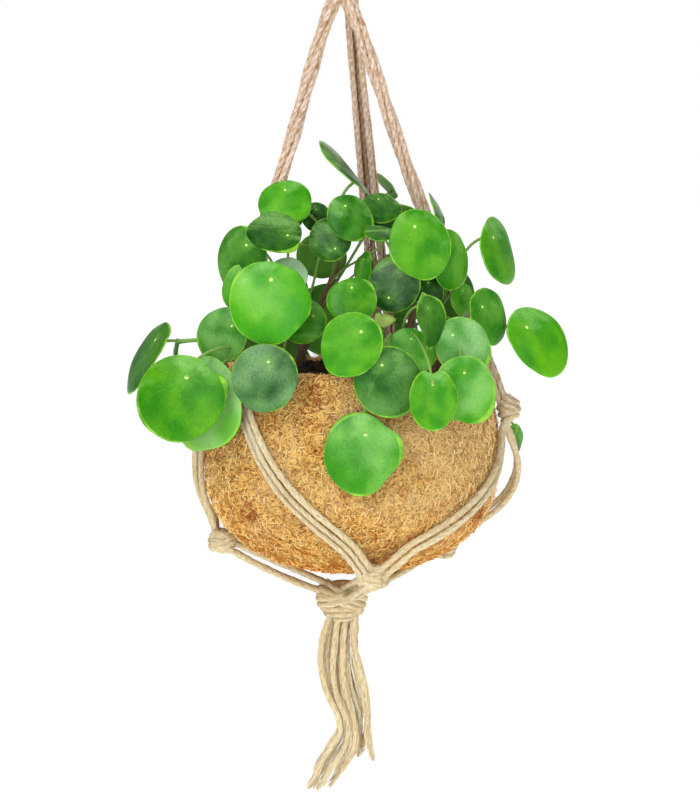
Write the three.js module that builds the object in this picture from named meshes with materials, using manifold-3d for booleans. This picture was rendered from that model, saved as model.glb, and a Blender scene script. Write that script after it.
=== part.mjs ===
// A Chinese money plant in a coir bowl that hangs in a knotted jute hanger.
// Millimetres. +X is to the right, +Y away from the viewer, +Z up, and the origin is the point
// inside the top of the hanging loop where a hook carries it.
import * as THREE from "three";
import { mergeVertices } from "three/addons/utils/BufferGeometryUtils.js";
import Module from "manifold-3d";

const wasm = await Module();
wasm.setup();

// Driving sizes
const STRAND = 4; // diameter of one jute strand
const GAP = 0.3; // left between pieces that touch
const BOWL_X = 6; // the bowl hangs this far right of the loop
const BOWL_RADIUS = 88;
const BOWL_EQUATOR_Z = -313;
const BOWL_DEPTH = 66; // from the equator to the bottom
const BOWL_RISE = 95; // height of the whole upper curve, of which the mouth cuts off the top
const BOWL_ROUNDNESS = 2.3; // 2 is an ellipse, more is squarer
const BOWL_WALL = 8;
const RIM_Z = -258;
const RIM_WAVE = 1.6; // the torn fibre edge goes up and down by about this
const BOWL_SIDES = 24;
const SOIL_BELOW_RIM = 6;
const SOIL_MOUND = 10; // the soil's middle stands this far above its edge
const TRUNK_RADIUS = 2.5;
const TRUNK_DEPTH = 14; // how far a woody stem stands in the soil
const HOLE_CLEARANCE = 0.5; // round it in the soil
const STALK_RADIUS = 1.25;
const BLADE_THICKNESS = 0.8;
const BLADE_DOME = 0.08; // how far the rim falls back, as a share of the blade's radius
const BLADE_WAVE = 0.05; // how far the rim waves, as the same share
const STALK_SEAT = 0.5; // the stalk joins this share of the radius behind the blade's middle
const EYE_DISTANCE = 1400; // leaves are placed as seen from here
const EYE_RAISED = THREE.MathUtils.degToRad(6);
const EYE_TARGET = new THREE.Vector3(5, 0, -277);

const group = new THREE.Group();
const solids = new Map();
const V = (x, y, z) => new THREE.Vector3(x, y, z);
const radians = THREE.MathUtils.degToRad;
const mix = THREE.MathUtils.lerp;

// A closed geometry as a solid, and a solid as a geometry
function solidOf(geometry) {
  const bare = geometry.clone();
  for (const name of ["normal", "uv"]) bare.deleteAttribute(name);
  const merged = mergeVertices(bare.index ? bare.toNonIndexed() : bare, 1e-3);
  return new wasm.Manifold(
    new wasm.Mesh({
      numProp: 3,
      vertProperties: merged.attributes.position.array,
      triVerts: new Uint32Array(merged.index.array),
    }),
  );
}

function geometryOf(solid) {
  const mesh = solid.getMesh();
  const geometry = new THREE.BufferGeometry();
  geometry.setAttribute("position", new THREE.BufferAttribute(mesh.vertProperties, 3));
  geometry.setIndex(new THREE.BufferAttribute(mesh.triVerts, 1));
  geometry.computeVertexNormals();
  return geometry;
}

function finish(color, roughness) {
  return new THREE.MeshStandardMaterial({ color, roughness, metalness: 0 });
}

const JUTE = finish(0xd2bf98, 0.95);
const COIR = finish(0xd49b55, 1);
const SOIL = finish(0x14120d, 1);
const LEAF = finish(0x5fae3a, 0.35);

function place(name, solid, material) {
  const mesh = new THREE.Mesh(geometryOf(solid), material);
  mesh.name = name;
  group.add(mesh);
  solids.set(name, solid);
}

// The bowl: an outline that is flatter below than above, turned round its own axis
function bowlRadius(z, inset = 0) {
  const reach = (z < BOWL_EQUATOR_Z ? BOWL_DEPTH : BOWL_RISE) - inset;
  const share = Math.min(1, Math.abs(z - BOWL_EQUATOR_Z) / reach) ** BOWL_ROUNDNESS;
  return (BOWL_RADIUS - inset) * (1 - share) ** (1 / BOWL_ROUNDNESS);
}

function onBowl(azimuth, z, standOff) {
  const r = bowlRadius(z);
  const reach = z < BOWL_EQUATOR_Z ? BOWL_DEPTH : BOWL_RISE;
  const power = BOWL_ROUNDNESS - 1;
  const out = (r / BOWL_RADIUS) ** power / BOWL_RADIUS;
  const rise = (Math.abs(z - BOWL_EQUATOR_Z) / reach) ** power / reach;
  const steep = new THREE.Vector2(out, Math.sign(z - BOWL_EQUATOR_Z) * rise).normalize();
  const radius = r + standOff * steep.x;
  const a = radians(azimuth);
  return V(BOWL_X + radius * Math.cos(a), radius * Math.sin(a), z + standOff * steep.y);
}

function wallOutline(inset, steps, upperLevels) {
  const points = [];
  const bottomZ = BOWL_EQUATOR_Z - BOWL_DEPTH + inset;
  for (let i = 0; i <= steps; i++) {
    const turn = (Math.PI / 2) * (1 - i / steps);
    const drop = Math.sin(turn) ** (2 / BOWL_ROUNDNESS);
    const z = mix(BOWL_EQUATOR_Z, bottomZ, drop);
    points.push(new THREE.Vector2(i === 0 ? 0 : bowlRadius(z, inset), z));
  }
  for (const z of upperLevels) points.push(new THREE.Vector2(bowlRadius(z, inset), z));
  return points;
}

function turned(outline) {
  return new THREE.LatheGeometry(outline, BOWL_SIDES).rotateX(Math.PI / 2).translate(BOWL_X, 0, 0);
}

const soilEdgeZ = RIM_Z - SOIL_BELOW_RIM;
const SOIL_LEVELS = [BOWL_EQUATOR_Z + 24, soilEdgeZ];

function makeBowl() {
  const levels = [...SOIL_LEVELS, RIM_Z - BOWL_WALL / 3];
  const outside = wallOutline(0, 6, levels);
  const inside = wallOutline(BOWL_WALL, 4, levels).reverse();
  const lip = new THREE.Vector2((outside.at(-1).x + inside[0].x) / 2, RIM_Z);
  const geometry = turned([...outside, lip, ...inside]);
  const position = geometry.attributes.position;
  for (let i = 0; i < position.count; i++) {
    const z = position.getZ(i);
    const nearRim = THREE.MathUtils.smoothstep(z, soilEdgeZ, RIM_Z);
    const a = Math.atan2(position.getY(i), position.getX(i) - BOWL_X);
    position.setZ(i, z + nearRim * RIM_WAVE * (Math.sin(3 * a + 0.5) + 0.6 * Math.sin(7 * a + 2)));
  }
  place("coir_bowl", solidOf(geometry), COIR);
}

function soilTop(x, y) {
  const out = Math.min(1, Math.hypot(x - BOWL_X, y) / (BOWL_RADIUS - 2 * BOWL_WALL));
  return soilEdgeZ + SOIL_MOUND * (1 - out * out);
}

function makeSoil(stems) {
  const inset = BOWL_WALL + 2 * GAP;
  const outline = wallOutline(inset, 4, SOIL_LEVELS);
  const edge = outline.at(-1).x;
  for (const share of [0.5, 0]) {
    outline.push(new THREE.Vector2(edge * share, soilEdgeZ + SOIL_MOUND * (1 - share * share)));
  }
  let soil = solidOf(turned(outline));
  for (const stem of Object.values(stems)) soil = soil.subtract(trunk(stem, HOLE_CLEARANCE));
  place("potting_soil", soil, SOIL);
}

// Rope: a lobed outline, swept along a curve whose frames are turned the way the strands lie
function lobes(centres, radius, perLobe) {
  const points = [];
  for (const [x, y] of centres) {
    const facing = Math.atan2(y, x);
    const single = centres.length === 1;
    const spread = single ? Math.PI : Math.PI / 2 + Math.PI / (2 * centres.length);
    for (let i = 0; i < perLobe; i++) {
      const share = single ? i / perLobe : i / (perLobe - 1);
      const a = facing - spread + 2 * spread * share;
      points.push(new THREE.Vector2(x + radius * Math.cos(a), y + radius * Math.sin(a)));
    }
  }
  return new THREE.Shape(points);
}

const R = STRAND / 2;
const LEG_LOBES = [[R, -R], [R, R], [-R, R], [-R, -R]];
const ONE_STRAND = lobes([[0, 0]], R, 6);
const CORD_STRAND = lobes([[0, 0]], R, 8);
const TWO_ABREAST = lobes([[0, R], [0, -R]], R, 4);
const TWO_DEEP = lobes([[-R, 0], [R, 0]], R, 4);
const FOUR_STRANDS = lobes(LEG_LOBES, R, 3);

class LaidRope extends THREE.CatmullRomCurve3 {
  constructor(points, outward) {
    super(points, false, "centripetal");
    this.outward = outward;
  }

  computeFrenetFrames(segments) {
    const frames = { tangents: [], normals: [], binormals: [] };
    for (let i = 0; i <= segments; i++) {
      const tangent = this.getTangentAt(i / segments);
      const binormal = V(0, 0, 0).crossVectors(tangent, this.outward(this.getPointAt(i / segments)));
      binormal.normalize();
      frames.tangents.push(tangent);
      frames.normals.push(V(0, 0, 0).crossVectors(binormal, tangent).normalize());
      frames.binormals.push(binormal);
    }
    return frames;
  }
}

const away = (p) => V(p.x - BOWL_X, p.y, 0);
const upward = () => V(0, 0, 1);
const toViewer = () => V(0, -1, 0);

function rope(points, shape, steps, outward = away) {
  const extrudePath = new LaidRope(points, outward);
  return solidOf(new THREE.ExtrudeGeometry(shape, { steps, extrudePath, bevelEnabled: false }));
}

// Knots: rounded forms with the ridges of their diagonal wraps
const KNOTS = {
  top_knot: { centre: V(-1, 0, -28), half: [9, 8, 10], turn: 0 },
  knot_left: { azimuth: 205, z: -262, half: [7.5, 8, 9.5], standOff: 10 },
  knot_back: { azimuth: 75, z: -262, half: [7.5, 8, 9.5], standOff: 10 },
  knot_right: { azimuth: -5, z: -283, half: [7, 7, 10], standOff: 9 },
  knot_low_left: { azimuth: 184, z: -356, half: [8.5, 11, 8.5], standOff: 8.5 },
  knot_low_front: { azimuth: -80, z: -364, half: [9, 10.5, 10], standOff: 11 },
  knot_low_back: { azimuth: 40, z: -362, half: [9, 13, 9.5], standOff: 12 },
  gather_knot: { centre: V(1, 0, -398), half: [13.5, 12.5, 12], turn: 0, taper: 0.22 },
};
const KNOT_RIDGES = 3;
const KNOT_RELIEF = 0.1;

for (const knot of Object.values(KNOTS)) {
  knot.centre ??= onBowl(knot.azimuth, knot.z, knot.standOff);
  knot.turn ??= knot.azimuth;
}

function knotForm({ centre, half, turn, taper = 0 }, grow) {
  const geometry = new THREE.SphereGeometry(1, 10, 6).rotateX(Math.PI / 2);
  const position = geometry.attributes.position;
  for (let i = 0; i < position.count; i++) {
    const p = V(0, 0, 0).fromBufferAttribute(position, i);
    const a = Math.atan2(p.y, p.x);
    const girth = Math.hypot(p.x, p.y);
    const ridge = 1 + KNOT_RELIEF * girth * Math.cos(KNOT_RIDGES * a + 3 * p.z);
    const wide = ridge * (1 + taper * p.z);
    position.setXYZ(i, p.x * wide * (half[0] + grow), p.y * wide * (half[1] + grow), p.z * (half[2] + grow));
  }
  return solidOf(geometry.rotateZ(radians(turn)).translate(centre.x, centre.y, centre.z));
}

const KNOT_CLEARANCE = 0.6;

function clearOfKnots(solid, names) {
  for (const name of names) solid = solid.subtract(knotForm(KNOTS[name], KNOT_CLEARANCE));
  return solid;
}

function makeKnots() {
  for (const [name, knot] of Object.entries(KNOTS)) place(name, knotForm(knot, 0), JUTE);
}

const LOOP_HALF_WIDTH = 10; // to the middle of the rope

function makeLoop() {
  const { x, z } = KNOTS.top_knot.centre;
  const half = [[2.5, z + 2], [LOOP_HALF_WIDTH, -16], [LOOP_HALF_WIDTH + 1, -6]];
  const points = [
    ...half.map(([out, height]) => V(x + out, 0, height)),
    V(0, 0, STRAND),
    ...half.reverse().map(([out, height]) => V(x - out, 0, height)),
  ];
  place("hang_loop", clearOfKnots(rope(points, FOUR_STRANDS, 9, toViewer), ["top_knot"]), JUTE);
}

// Legs: four strands each, the far one seen as two pairs
const LEGS = {
  leg_left: { to: "knot_left", shape: FOUR_STRANDS, start: V(-2.2, -2, 0), aside: 0, bow: 2 },
  leg_right: { to: "knot_right", shape: FOUR_STRANDS, start: V(4, -2, 0), aside: 0, bow: -4.5 },
  leg_back_a: { to: "knot_back", shape: TWO_DEEP, start: V(2.2, 5.5, 0), aside: -5, bow: 0 },
  leg_back_b: { to: "knot_back", shape: TWO_DEEP, start: V(6.6, 5, 0), aside: 3, bow: 0 },
};

function makeLegs() {
  const top = KNOTS.top_knot.centre;
  for (const [name, { to, shape, start, aside, bow }] of Object.entries(LEGS)) {
    const head = top.clone().add(start);
    const foot = KNOTS[to].centre.clone().add(V(aside, 0, 0));
    const points = [head, head.clone().lerp(foot, 0.5).add(V(bow, 0, 0)), foot];
    place(name, clearOfKnots(rope(points, shape, 4, toViewer), ["top_knot", to]), JUTE);
  }
}

// The net: a pair of strands from each upper knot to the two low knots beside it
const NET = {
  net_front_left: { from: "knot_left", to: "knot_low_front", turn: 75, bend: 0.54, dip: 0.19 },
  net_left: { from: "knot_left", to: "knot_low_left", turn: -23, bend: 0.5, spread: 0.3, slack: 2 },
  net_front_right: { from: "knot_right", to: "knot_low_front", turn: -75, bend: 1.7 },
  net_right: { from: "knot_right", to: "knot_low_back", turn: 41, bend: 1.2, slack: 14 },
  net_back_right: { from: "knot_back", to: "knot_low_back", turn: -32, bend: 0.8, spread: 0.3 },
  net_back_left: { from: "knot_back", to: "knot_low_left", turn: 107, bend: 1.1, spread: 1, slack: 1.5 },
};
const NET_STAND = R + 1.1;
const LOW_SLACK = 1.4;
const NET_POINTS = 10;
const NET_STEPS = 8;

function netRoute({ from, to, turn, bend, dip = 0, spread = 0.4, slack = 0 }, side) {
  const [high, low] = [KNOTS[from], KNOTS[to]];
  const middle = (share) => {
    const lift = 1 - THREE.MathUtils.smoothstep(Math.min(share, 1 - share), 0, 0.16);
    const knotStand = share < 0.5 ? high.standOff : low.standOff;
    const stand = mix(NET_STAND, knotStand, lift) + slack * Math.sin(Math.PI * share ** LOW_SLACK);
    const turned = share ** bend - dip * Math.sin(Math.PI * share);
    return onBowl(high.azimuth + turn * turned, mix(high.z, low.z, share), stand);
  };
  const points = [];
  for (let i = 0; i <= NET_POINTS; i++) {
    const share = i / NET_POINTS;
    const p = middle(share);
    const along = middle(Math.min(1, share + 0.02)).sub(middle(Math.max(0, share - 0.02)));
    const across = V(0, 0, 0).crossVectors(along, away(p)).normalize();
    points.push(p.addScaledVector(across, side * (R + 0.25 + spread * Math.sin(Math.PI * share))));
  }
  return points;
}

function makeNet() {
  for (const [name, run] of Object.entries(NET)) {
    for (const [letter, side] of [["a", -1], ["b", 1]]) {
      const strand = rope(netRoute(run, side), ONE_STRAND, NET_STEPS);
      place(`${name}_${letter}`, clearOfKnots(strand, [run.from, run.to]), JUTE);
    }
  }
}

// Tails of the low knots, drawn together under the bowl: an upper pair and a slacker lower pair
const TAIL_SAG = { upper: 0, lower: 1.2 };
const TAIL_APART = 2.4;
const TAIL_GATHER_RISE = 3.5;

function makeTails() {
  const gather = KNOTS.gather_knot.centre.clone().add(V(0, 0, TAIL_GATHER_RISE));
  for (const side of ["left", "front", "back"]) {
    const from = `knot_low_${side}`;
    for (const [level, sag] of Object.entries(TAIL_SAG)) {
      const shift = level === "upper" ? TAIL_APART : -TAIL_APART;
      const points = [0, 0.3, 0.6, 1].map((share) => {
        const p = KNOTS[from].centre.clone().lerp(gather, share);
        return p.add(V(0, 0, shift - sag * Math.sin(Math.PI * share)));
      });
      const pair = rope(points, TWO_ABREAST, 4, upward);
      place(`tail_${side}_${level}`, clearOfKnots(pair, [from, "gather_knot"]), JUTE);
    }
  }
}

// Tassel: twelve loose ends in three rows of four, each given by how far right it hangs at each level
const TASSEL_LEVELS = [-404, -424, -440, -452, -462, -470, -479, -488, -497, -506, -515];
const TASSEL_ROW_APART = 4.7;
const TASSEL_FLARE = 1.6;
const TASSEL_STEPS = 9;
const TASSEL = {
  front: [
    [-6, -12, -12.5, -10, -5.5, -2, -1, -6.5, -12, -16, -20.5],
    [-1.5, -4.5, -5.5, -4, -1, 2.5, 4, 2, -3.5, -9.5, -15.5],
    [3, 1, 0.5, 2, 4.5, 7, 8.5, 7, 3.5],
    [7.5, 7.5, 11, 14, 15.5, 15.5, 15, 17, 19],
  ],
  middle: [
    [-5, -8, -9, -7, -3.5, -0.5, 0, -3.5, -9, -14.5, -19],
    [-0.5, -2.5, -3, -1.5, 1.5, 4.5, 5, 1.5, -4, -9, -13],
    [4, 3, 3.5, 5.5, 8.5, 10.5, 10.5, 8, 3, -3],
    [8.5, 8, 8.5, 11, 13.5, 15.5, 16, 16.5],
  ],
  back: [
    [-6, -10, -10, -7.5, -3, 0, -1, -6, -12, -16.5],
    [-1.5, -3.5, -3.5, -1.5, 2.5, 5, 5.5, 3, -1.5],
    [3, 2, 3.5, 6, 9, 11, 10.5, 8.5, 4.5, -1.5, -8],
    [7.5, 7.5, 9, 12, 14.5, 16, 15.5, 13.5, 9.5],
  ],
};

function tasselRoute(row, reach) {
  const rowSide = { front: -1, middle: 0, back: 1 }[row];
  const last = TASSEL_LEVELS.length - 1;
  return reach.map((x, i) => {
    const apart = TASSEL_ROW_APART + TASSEL_FLARE * Math.sin((Math.PI * i) / last);
    return V(x, rowSide * apart, TASSEL_LEVELS[i]);
  });
}

function makeTassel() {
  for (const [row, strands] of Object.entries(TASSEL)) {
    strands.forEach((reach, i) => {
      const strand = rope(tasselRoute(row, reach), CORD_STRAND, TASSEL_STEPS, toViewer);
      place(`tassel_${row}_${i + 1}`, clearOfKnots(strand, ["gather_knot"]), JUTE);
    });
  }
}

// A point given by where it is seen from the front: x and z on the plane of the hanger's axis, and
// how far in front of that plane it really is. What is nearer looks larger and from higher up.
function seen(x, z, near) {
  const scale = (EYE_DISTANCE - near) / EYE_DISTANCE;
  const seenUp = (z - EYE_TARGET.z) * scale;
  return V(
    EYE_TARGET.x + (x - EYE_TARGET.x) * scale,
    -near,
    EYE_TARGET.z + (seenUp + near * Math.sin(EYE_RAISED)) / Math.cos(EYE_RAISED),
  );
}

// Leafy stems. root and top are the woody stem's ends: [x, y] in the soil, then [x, y, z].
// Each leaf: [seen x, seen z, nearness, half length, half width, turned, lifted, tip], the last
// three in degrees: turned right of the viewer, lifted to the sky, and the tip swung right of down.
const STEMS = {
  stem_middle: {
    root: [-26, -4], top: [2, -10, -186],
    leaves: [
      [-34, -159, 36, 15.5, 16.5, -5, 25, 0],
      [-40, -176, 47, 17, 18, 5, 50, -115],
      [-15, -165, 6, 10, 9, 10, 10, 0],
      [-7, -181, 38, 13.5, 13, -10, 15, -150],
      [5, -168, 42, 15, 13.5, 5, 20, 20],
      [21, -176, 51, 9, 9.5, 15, 62, 30],
      [3, -138, 0, 21.5, 16, 78, 43, 180],
      [26, -160, 20, 15, 15, 5, 50, 0],
      [25, -172, 2, 10, 10, 10, 15, 0],
      [12, -198, 34, 10, 9, -55, 10, 0],
    ],
  },
  stem_right: {
    root: [40, -14], top: [58, -28, -217],
    leaves: [
      [47, -184, 62, 22, 19, 10, 15, 15],
      [66, -193, 35, 18.5, 15.5, 45, 5, 0],
      [58, -164, 22, 12, 9, 84, 22, 180],
      [95, -188, 10, 21, 17, 60, 5, 20],
      [52, -212, 40, 10, 9.5, 10, 10, 0],
      [73, -217, 26, 10, 9, 40, 5, 0],
    ],
  },
  stem_right_low: {
    root: [54, -16], top: [68, -24, -244],
    leaves: [
      [119, -242, 30, 24, 18.5, 30, 15, 40],
      [73, -244, 72, 17.5, 17.5, 15, 15, 45],
      [74, -271, 88, 21, 19.5, 15, 5, 0],
      [88, -226, 40, 17.5, 17, 50, 5, 20],
    ],
  },
  stem_front_right: {
    root: [28, -34], top: [36, -46, -240],
    leaves: [
      [55, -277, 106, 18.5, 15, 10, 5, 0],
      [28, -266, 97, 21.5, 21, 5, 8, 20],
      [42, -247, 70, 15.5, 15.5, 5, 30, 0],
      [50, -229, 80, 16, 14, 58, 5, 0],
      [25, -229, 46, 6, 5.5, 20, 30, 0],
    ],
  },
  stem_front: {
    root: [-4, -32], top: [0, -44, -234],
    leaves: [
      [5, -244, 100, 20.5, 18.6, -5, 5, -40],
      [6, -217, 78, 15, 15, 0, 20, 0],
      [-23, -230, 55, 14, 13.5, -15, 10, -60],
      [12, -310, 98, 25, 23.5, -8, 3, -10],
      [31, -208, 50, 17, 16, -10, 5, 160],
    ],
  },
  stem_left: {
    root: [-42, -8], top: [-42, -40, -224],
    leaves: [
      [-61, -191, 38, 20, 20, -40, 5, -25],
      [-59, -211, 42, 15, 13.5, -10, 5, 0],
      [-43, -218, 75, 26.5, 25.5, -10, 15, 0],
      [-47, -264, 88, 21, 21, -12, 8, -15],
      [-32, -203, 42, 13, 12, 0, 25, 0],
    ],
  },
  stem_left_low: {
    root: [-46, -30], top: [-52, -48, -246],
    leaves: [
      [-117, -251, 40, 24.5, 23, -68, 28, -20],
      [-97, -276, 78, 26.5, 28, -12, 10, -15],
      [-82, -279, 60, 28.5, 26, -40, 5, -5],
      [-72, -238, 50, 17, 16.5, -25, 5, -50],
      [-100, -246, 22, 6, 5, -75, 10, 0],
    ],
  },
  stem_back_left: {
    root: [-24, 34], top: [-32, 42, -212],
    leaves: [
      [-36, -168, -40, 16, 15, -150, 25, 0],
      [-58, -193, -32, 17, 16, -120, 10, 0],
      [-40, -215, -66, 22, 21, -155, 15, 0],
      [-62, -240, -62, 20, 19, -130, 5, 0],
      [-36, -262, -94, 22, 21, -160, 5, 0],
      [-72, -268, -74, 18, 17, -135, 5, 0],
      [-12, -190, -58, 16, 15, 180, 30, 0],
    ],
  },
  stem_back_middle: {
    root: [2, 46], top: [0, 56, -236],
    leaves: [
      [-8, -228, -86, 23, 22, 175, 12, 0],
      [26, -246, -102, 22, 21, 165, 5, 0],
      [-4, -285, -106, 22, 21, 180, 0, 0],
    ],
  },
  stem_back_right: {
    root: [38, 32], top: [46, 38, -214],
    leaves: [
      [40, -174, -34, 16, 15, 150, 25, 0],
      [30, -146, -60, 10, 9, 110, 40, 180],
      [56, -190, -50, 19, 18, 150, 15, 0],
      [36, -208, -84, 21, 20, 165, 15, 0],
      [68, -214, -56, 18, 17, 135, 5, 0],
      [74, -240, -62, 18, 17, 125, 5, 0],
      [84, -264, -50, 17, 16, 115, 5, 0],
      [50, -262, -88, 20, 19, 150, 5, 0],
      [106, -300, -24, 9, 9, 60, 5, 0],
    ],
  },
};

const RIM_POINTS = 12;
const INNER_POINTS = 6;
const STALK_REACH = 0.36; // how far a stalk's curve is drawn towards each end, as a share of its span
const OVER_RIM = 12; // a leaf whose stalk ends below this height over the rim hangs down from it

function leafFrame([x, z, near, halfLength, halfWidth, turned, lifted, tipSwing]) {
  const centre = seen(x, z, near);
  const scale = (EYE_DISTANCE - near) / EYE_DISTANCE;
  const [t, l] = [radians(turned), radians(lifted)];
  const face = V(Math.sin(t) * Math.cos(l), -Math.cos(t) * Math.cos(l), Math.sin(l));
  const down = V(0, 0, -1).addScaledVector(face, face.z).normalize();
  const tip = down.applyAxisAngle(face, radians(tipSwing));
  const side = V(0, 0, 0).crossVectors(face, tip);
  return { centre, face, tip, side, length: halfLength * scale, width: halfWidth * scale };
}

function bladePoint(leaf, along, across) {
  const out = along * along + across * across;
  const radius = (leaf.length + leaf.width) / 2;
  const wave = BLADE_WAVE * radius * out * Math.sin(2 * Math.atan2(across, along) + leaf.length);
  return leaf.centre
    .clone()
    .addScaledVector(leaf.tip, along * leaf.length)
    .addScaledVector(leaf.side, across * leaf.width)
    .addScaledVector(leaf.face, wave - BLADE_DOME * radius * out);
}

// A blade: a fan, a ring and a rim wall, split into triangles alike on both faces
function blade(leaf) {
  const flat = [[0, 0]];
  for (const [count, radius] of [[INNER_POINTS, 0.55], [RIM_POINTS, 1]]) {
    for (let i = 0; i < count; i++) {
      const a = (2 * Math.PI * i) / count;
      flat.push([radius * Math.cos(a), radius * Math.sin(a)]);
    }
  }
  const faces = [];
  const inner = (i) => 1 + (i % INNER_POINTS);
  const rim = (i) => 1 + INNER_POINTS + (i % RIM_POINTS);
  for (let i = 0; i < INNER_POINTS; i++) {
    faces.push([0, inner(i), inner(i + 1)]);
    faces.push([inner(i), rim(2 * i), rim(2 * i + 1)]);
    faces.push([inner(i), rim(2 * i + 1), inner(i + 1)]);
    faces.push([inner(i + 1), rim(2 * i + 1), rim(2 * i + 2)]);
  }
  const under = flat.length;
  const triangles = [...faces, ...faces.map(([a, b, c]) => [a + under, c + under, b + under])];
  for (let i = 0; i < RIM_POINTS; i++) {
    const [a, b] = [rim(i), rim(i + 1)];
    triangles.push([a, a + under, b + under], [a, b + under, b]);
  }
  const top = flat.map(([along, across]) => bladePoint(leaf, along, across));
  const bottom = top.map((p) => p.clone().addScaledVector(leaf.face, -BLADE_THICKNESS));
  const geometry = new THREE.BufferGeometry().setFromPoints([...top, ...bottom]);
  return solidOf(geometry.setIndex(triangles.flat()));
}

function stalkCurve(leaf, from) {
  const seat = bladePoint(leaf, -STALK_SEAT, 0).addScaledVector(leaf.face, -BLADE_THICKNESS / 2);
  const span = seat.distanceTo(from);
  const outward = V(seat.x - from.x, seat.y - from.y, 0).normalize();
  const hangs = seat.z < RIM_Z + OVER_RIM;
  const rise = outward.multiplyScalar(0.6).add(V(0, 0, hangs ? 1 : 0.8)).normalize();
  const approach = leaf.face.clone().multiplyScalar(hangs ? -0.5 : -0.9).add(V(0, 0, hangs ? 0.86 : 0.3));
  return new THREE.CubicBezierCurve3(
    from,
    from.clone().addScaledVector(rise, STALK_REACH * span),
    seat.clone().addScaledVector(approach.normalize(), STALK_REACH * span),
    seat,
  );
}

const STALK = lobes([[0, 0]], STALK_RADIUS, 3);
const CROWN = 0.45; // leaves grow from this top share of the woody stem

function trunkCurve({ root, top }, deeper = 0) {
  const [x, y] = root;
  const foot = V(x, y, soilTop(x, y) - TRUNK_DEPTH - deeper);
  const collar = V(x, y, soilTop(x, y) + 1);
  const end = V(...top);
  return new THREE.CatmullRomCurve3([foot, collar, collar.clone().lerp(end, 0.5).add(V(0, 0, 1)), end]);
}

// The woody stem, or with grow the hole that it stands in
function trunk(stem, grow) {
  const extrudePath = trunkCurve(stem, grow);
  const shape = lobes([[0, 0]], TRUNK_RADIUS + grow, 6);
  return solidOf(new THREE.ExtrudeGeometry(shape, { steps: 4, extrudePath, bevelEnabled: false }));
}

function makeStem(name, stem) {
  const woody = trunkCurve(stem);
  let solid = trunk(stem, 0);
  stem.leaves.forEach((row, i) => {
    const leaf = leafFrame(row);
    const share = 1 - (CROWN * i) / stem.leaves.length - 0.03;
    const extrudePath = stalkCurve(leaf, woody.getPointAt(share));
    const stalk = new THREE.ExtrudeGeometry(STALK, { steps: 4, extrudePath, bevelEnabled: false });
    solid = solid.add(solidOf(stalk)).add(blade(leaf));
  });
  place(name, solid, LEAF);
}

makeBowl();
makeSoil(STEMS);
makeKnots();
makeLoop();
makeLegs();
makeNet();
makeTails();
makeTassel();
for (const [name, stem] of Object.entries(STEMS)) makeStem(name, stem);

export default group;
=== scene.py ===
"""A Chinese money plant in a coir bowl, hanging in a knotted jute hanger: the finish of every piece."""
import math

import bmesh
import bpy
import numpy as np
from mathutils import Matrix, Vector, noise


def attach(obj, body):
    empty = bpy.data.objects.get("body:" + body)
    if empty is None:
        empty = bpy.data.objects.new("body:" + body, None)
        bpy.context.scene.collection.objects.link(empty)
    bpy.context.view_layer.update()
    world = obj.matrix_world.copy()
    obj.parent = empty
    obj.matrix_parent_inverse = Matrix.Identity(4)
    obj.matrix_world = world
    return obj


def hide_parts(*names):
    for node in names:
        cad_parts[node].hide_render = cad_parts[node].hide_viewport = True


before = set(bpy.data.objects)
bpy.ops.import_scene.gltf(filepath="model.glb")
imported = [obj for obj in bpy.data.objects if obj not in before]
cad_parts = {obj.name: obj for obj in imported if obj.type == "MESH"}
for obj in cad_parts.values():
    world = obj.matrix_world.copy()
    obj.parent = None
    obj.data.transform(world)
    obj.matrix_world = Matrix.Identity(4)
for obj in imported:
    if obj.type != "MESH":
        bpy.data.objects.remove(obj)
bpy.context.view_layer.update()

MM = 0.001
CURVE_STEPS = 12
draw = np.random.default_rng(7)

# Sizes of the construction, in millimetres, as in the part's source
STRAND = 4.0
BOWL_X = 6.0
BOWL_RADIUS = 88.0
BOWL_EQUATOR_Z = -313.0
BOWL_DEPTH = 66.0
BOWL_RISE = 95.0
BOWL_ROUNDNESS = 2.3
BOWL_WALL = 8.0
RIM_Z = -258.0
RIM_WAVE = 1.6
SOIL_EDGE_Z = RIM_Z - 6.0
SOIL_MOUND = 10.0
BLADE_THICKNESS = 0.8
BLADE_DOME = 0.08
BLADE_WAVE = 0.05
STALK_SEAT = 0.5
STALK_REACH = 0.36
OVER_RIM = 12.0
CROWN = 0.45
TRUNK_DEPTH = 14.0
NET_STAND = STRAND / 2 + 1.1
LOW_SLACK = 1.4

# The eye: leaves are placed as seen from here, and the camera stands here
EYE_DISTANCE = 1400.0
EYE_RAISED = math.radians(6)
EYE_TARGET = np.array([5.0, 0.0, -277.0])
SEEN_HEIGHT = 480.0
SENSOR = 36.0


def vector(*numbers):
    return np.array(numbers, dtype=float)


def unit(v):
    return v / np.maximum(np.linalg.norm(v, axis=-1, keepdims=True), 1e-9)


def smooth(x, low, high):
    t = np.clip((x - low) / (high - low), 0, 1)
    return t * t * (3 - 2 * t)


def through(points, count):
    """Points evenly along the smooth curve through the given ones."""
    steps = np.linspace(0, 1, CURVE_STEPS, endpoint=False)
    p = np.asarray(points, float)
    padded = np.vstack([2 * p[0] - p[1], p, 2 * p[-1] - p[-2]])
    fine = []
    for a, b, c, d in zip(padded, padded[1:], padded[2:], padded[3:]):
        for t in steps:
            fine.append(0.5 * (2 * b + (c - a) * t + (2 * a - 5 * b + 4 * c - d) * t ** 2
                               + (3 * b - a - 3 * c + d) * t ** 3))
    fine.append(p[-1])
    return evenly(np.array(fine), count)


def between(path, at, steps=None):
    """Places on a line of points. at counts in its points, or in the measure that steps gives."""
    steps = np.arange(len(path)) if steps is None else steps
    return np.stack([np.interp(at, steps, path[:, k]) for k in range(3)], axis=1)


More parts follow.
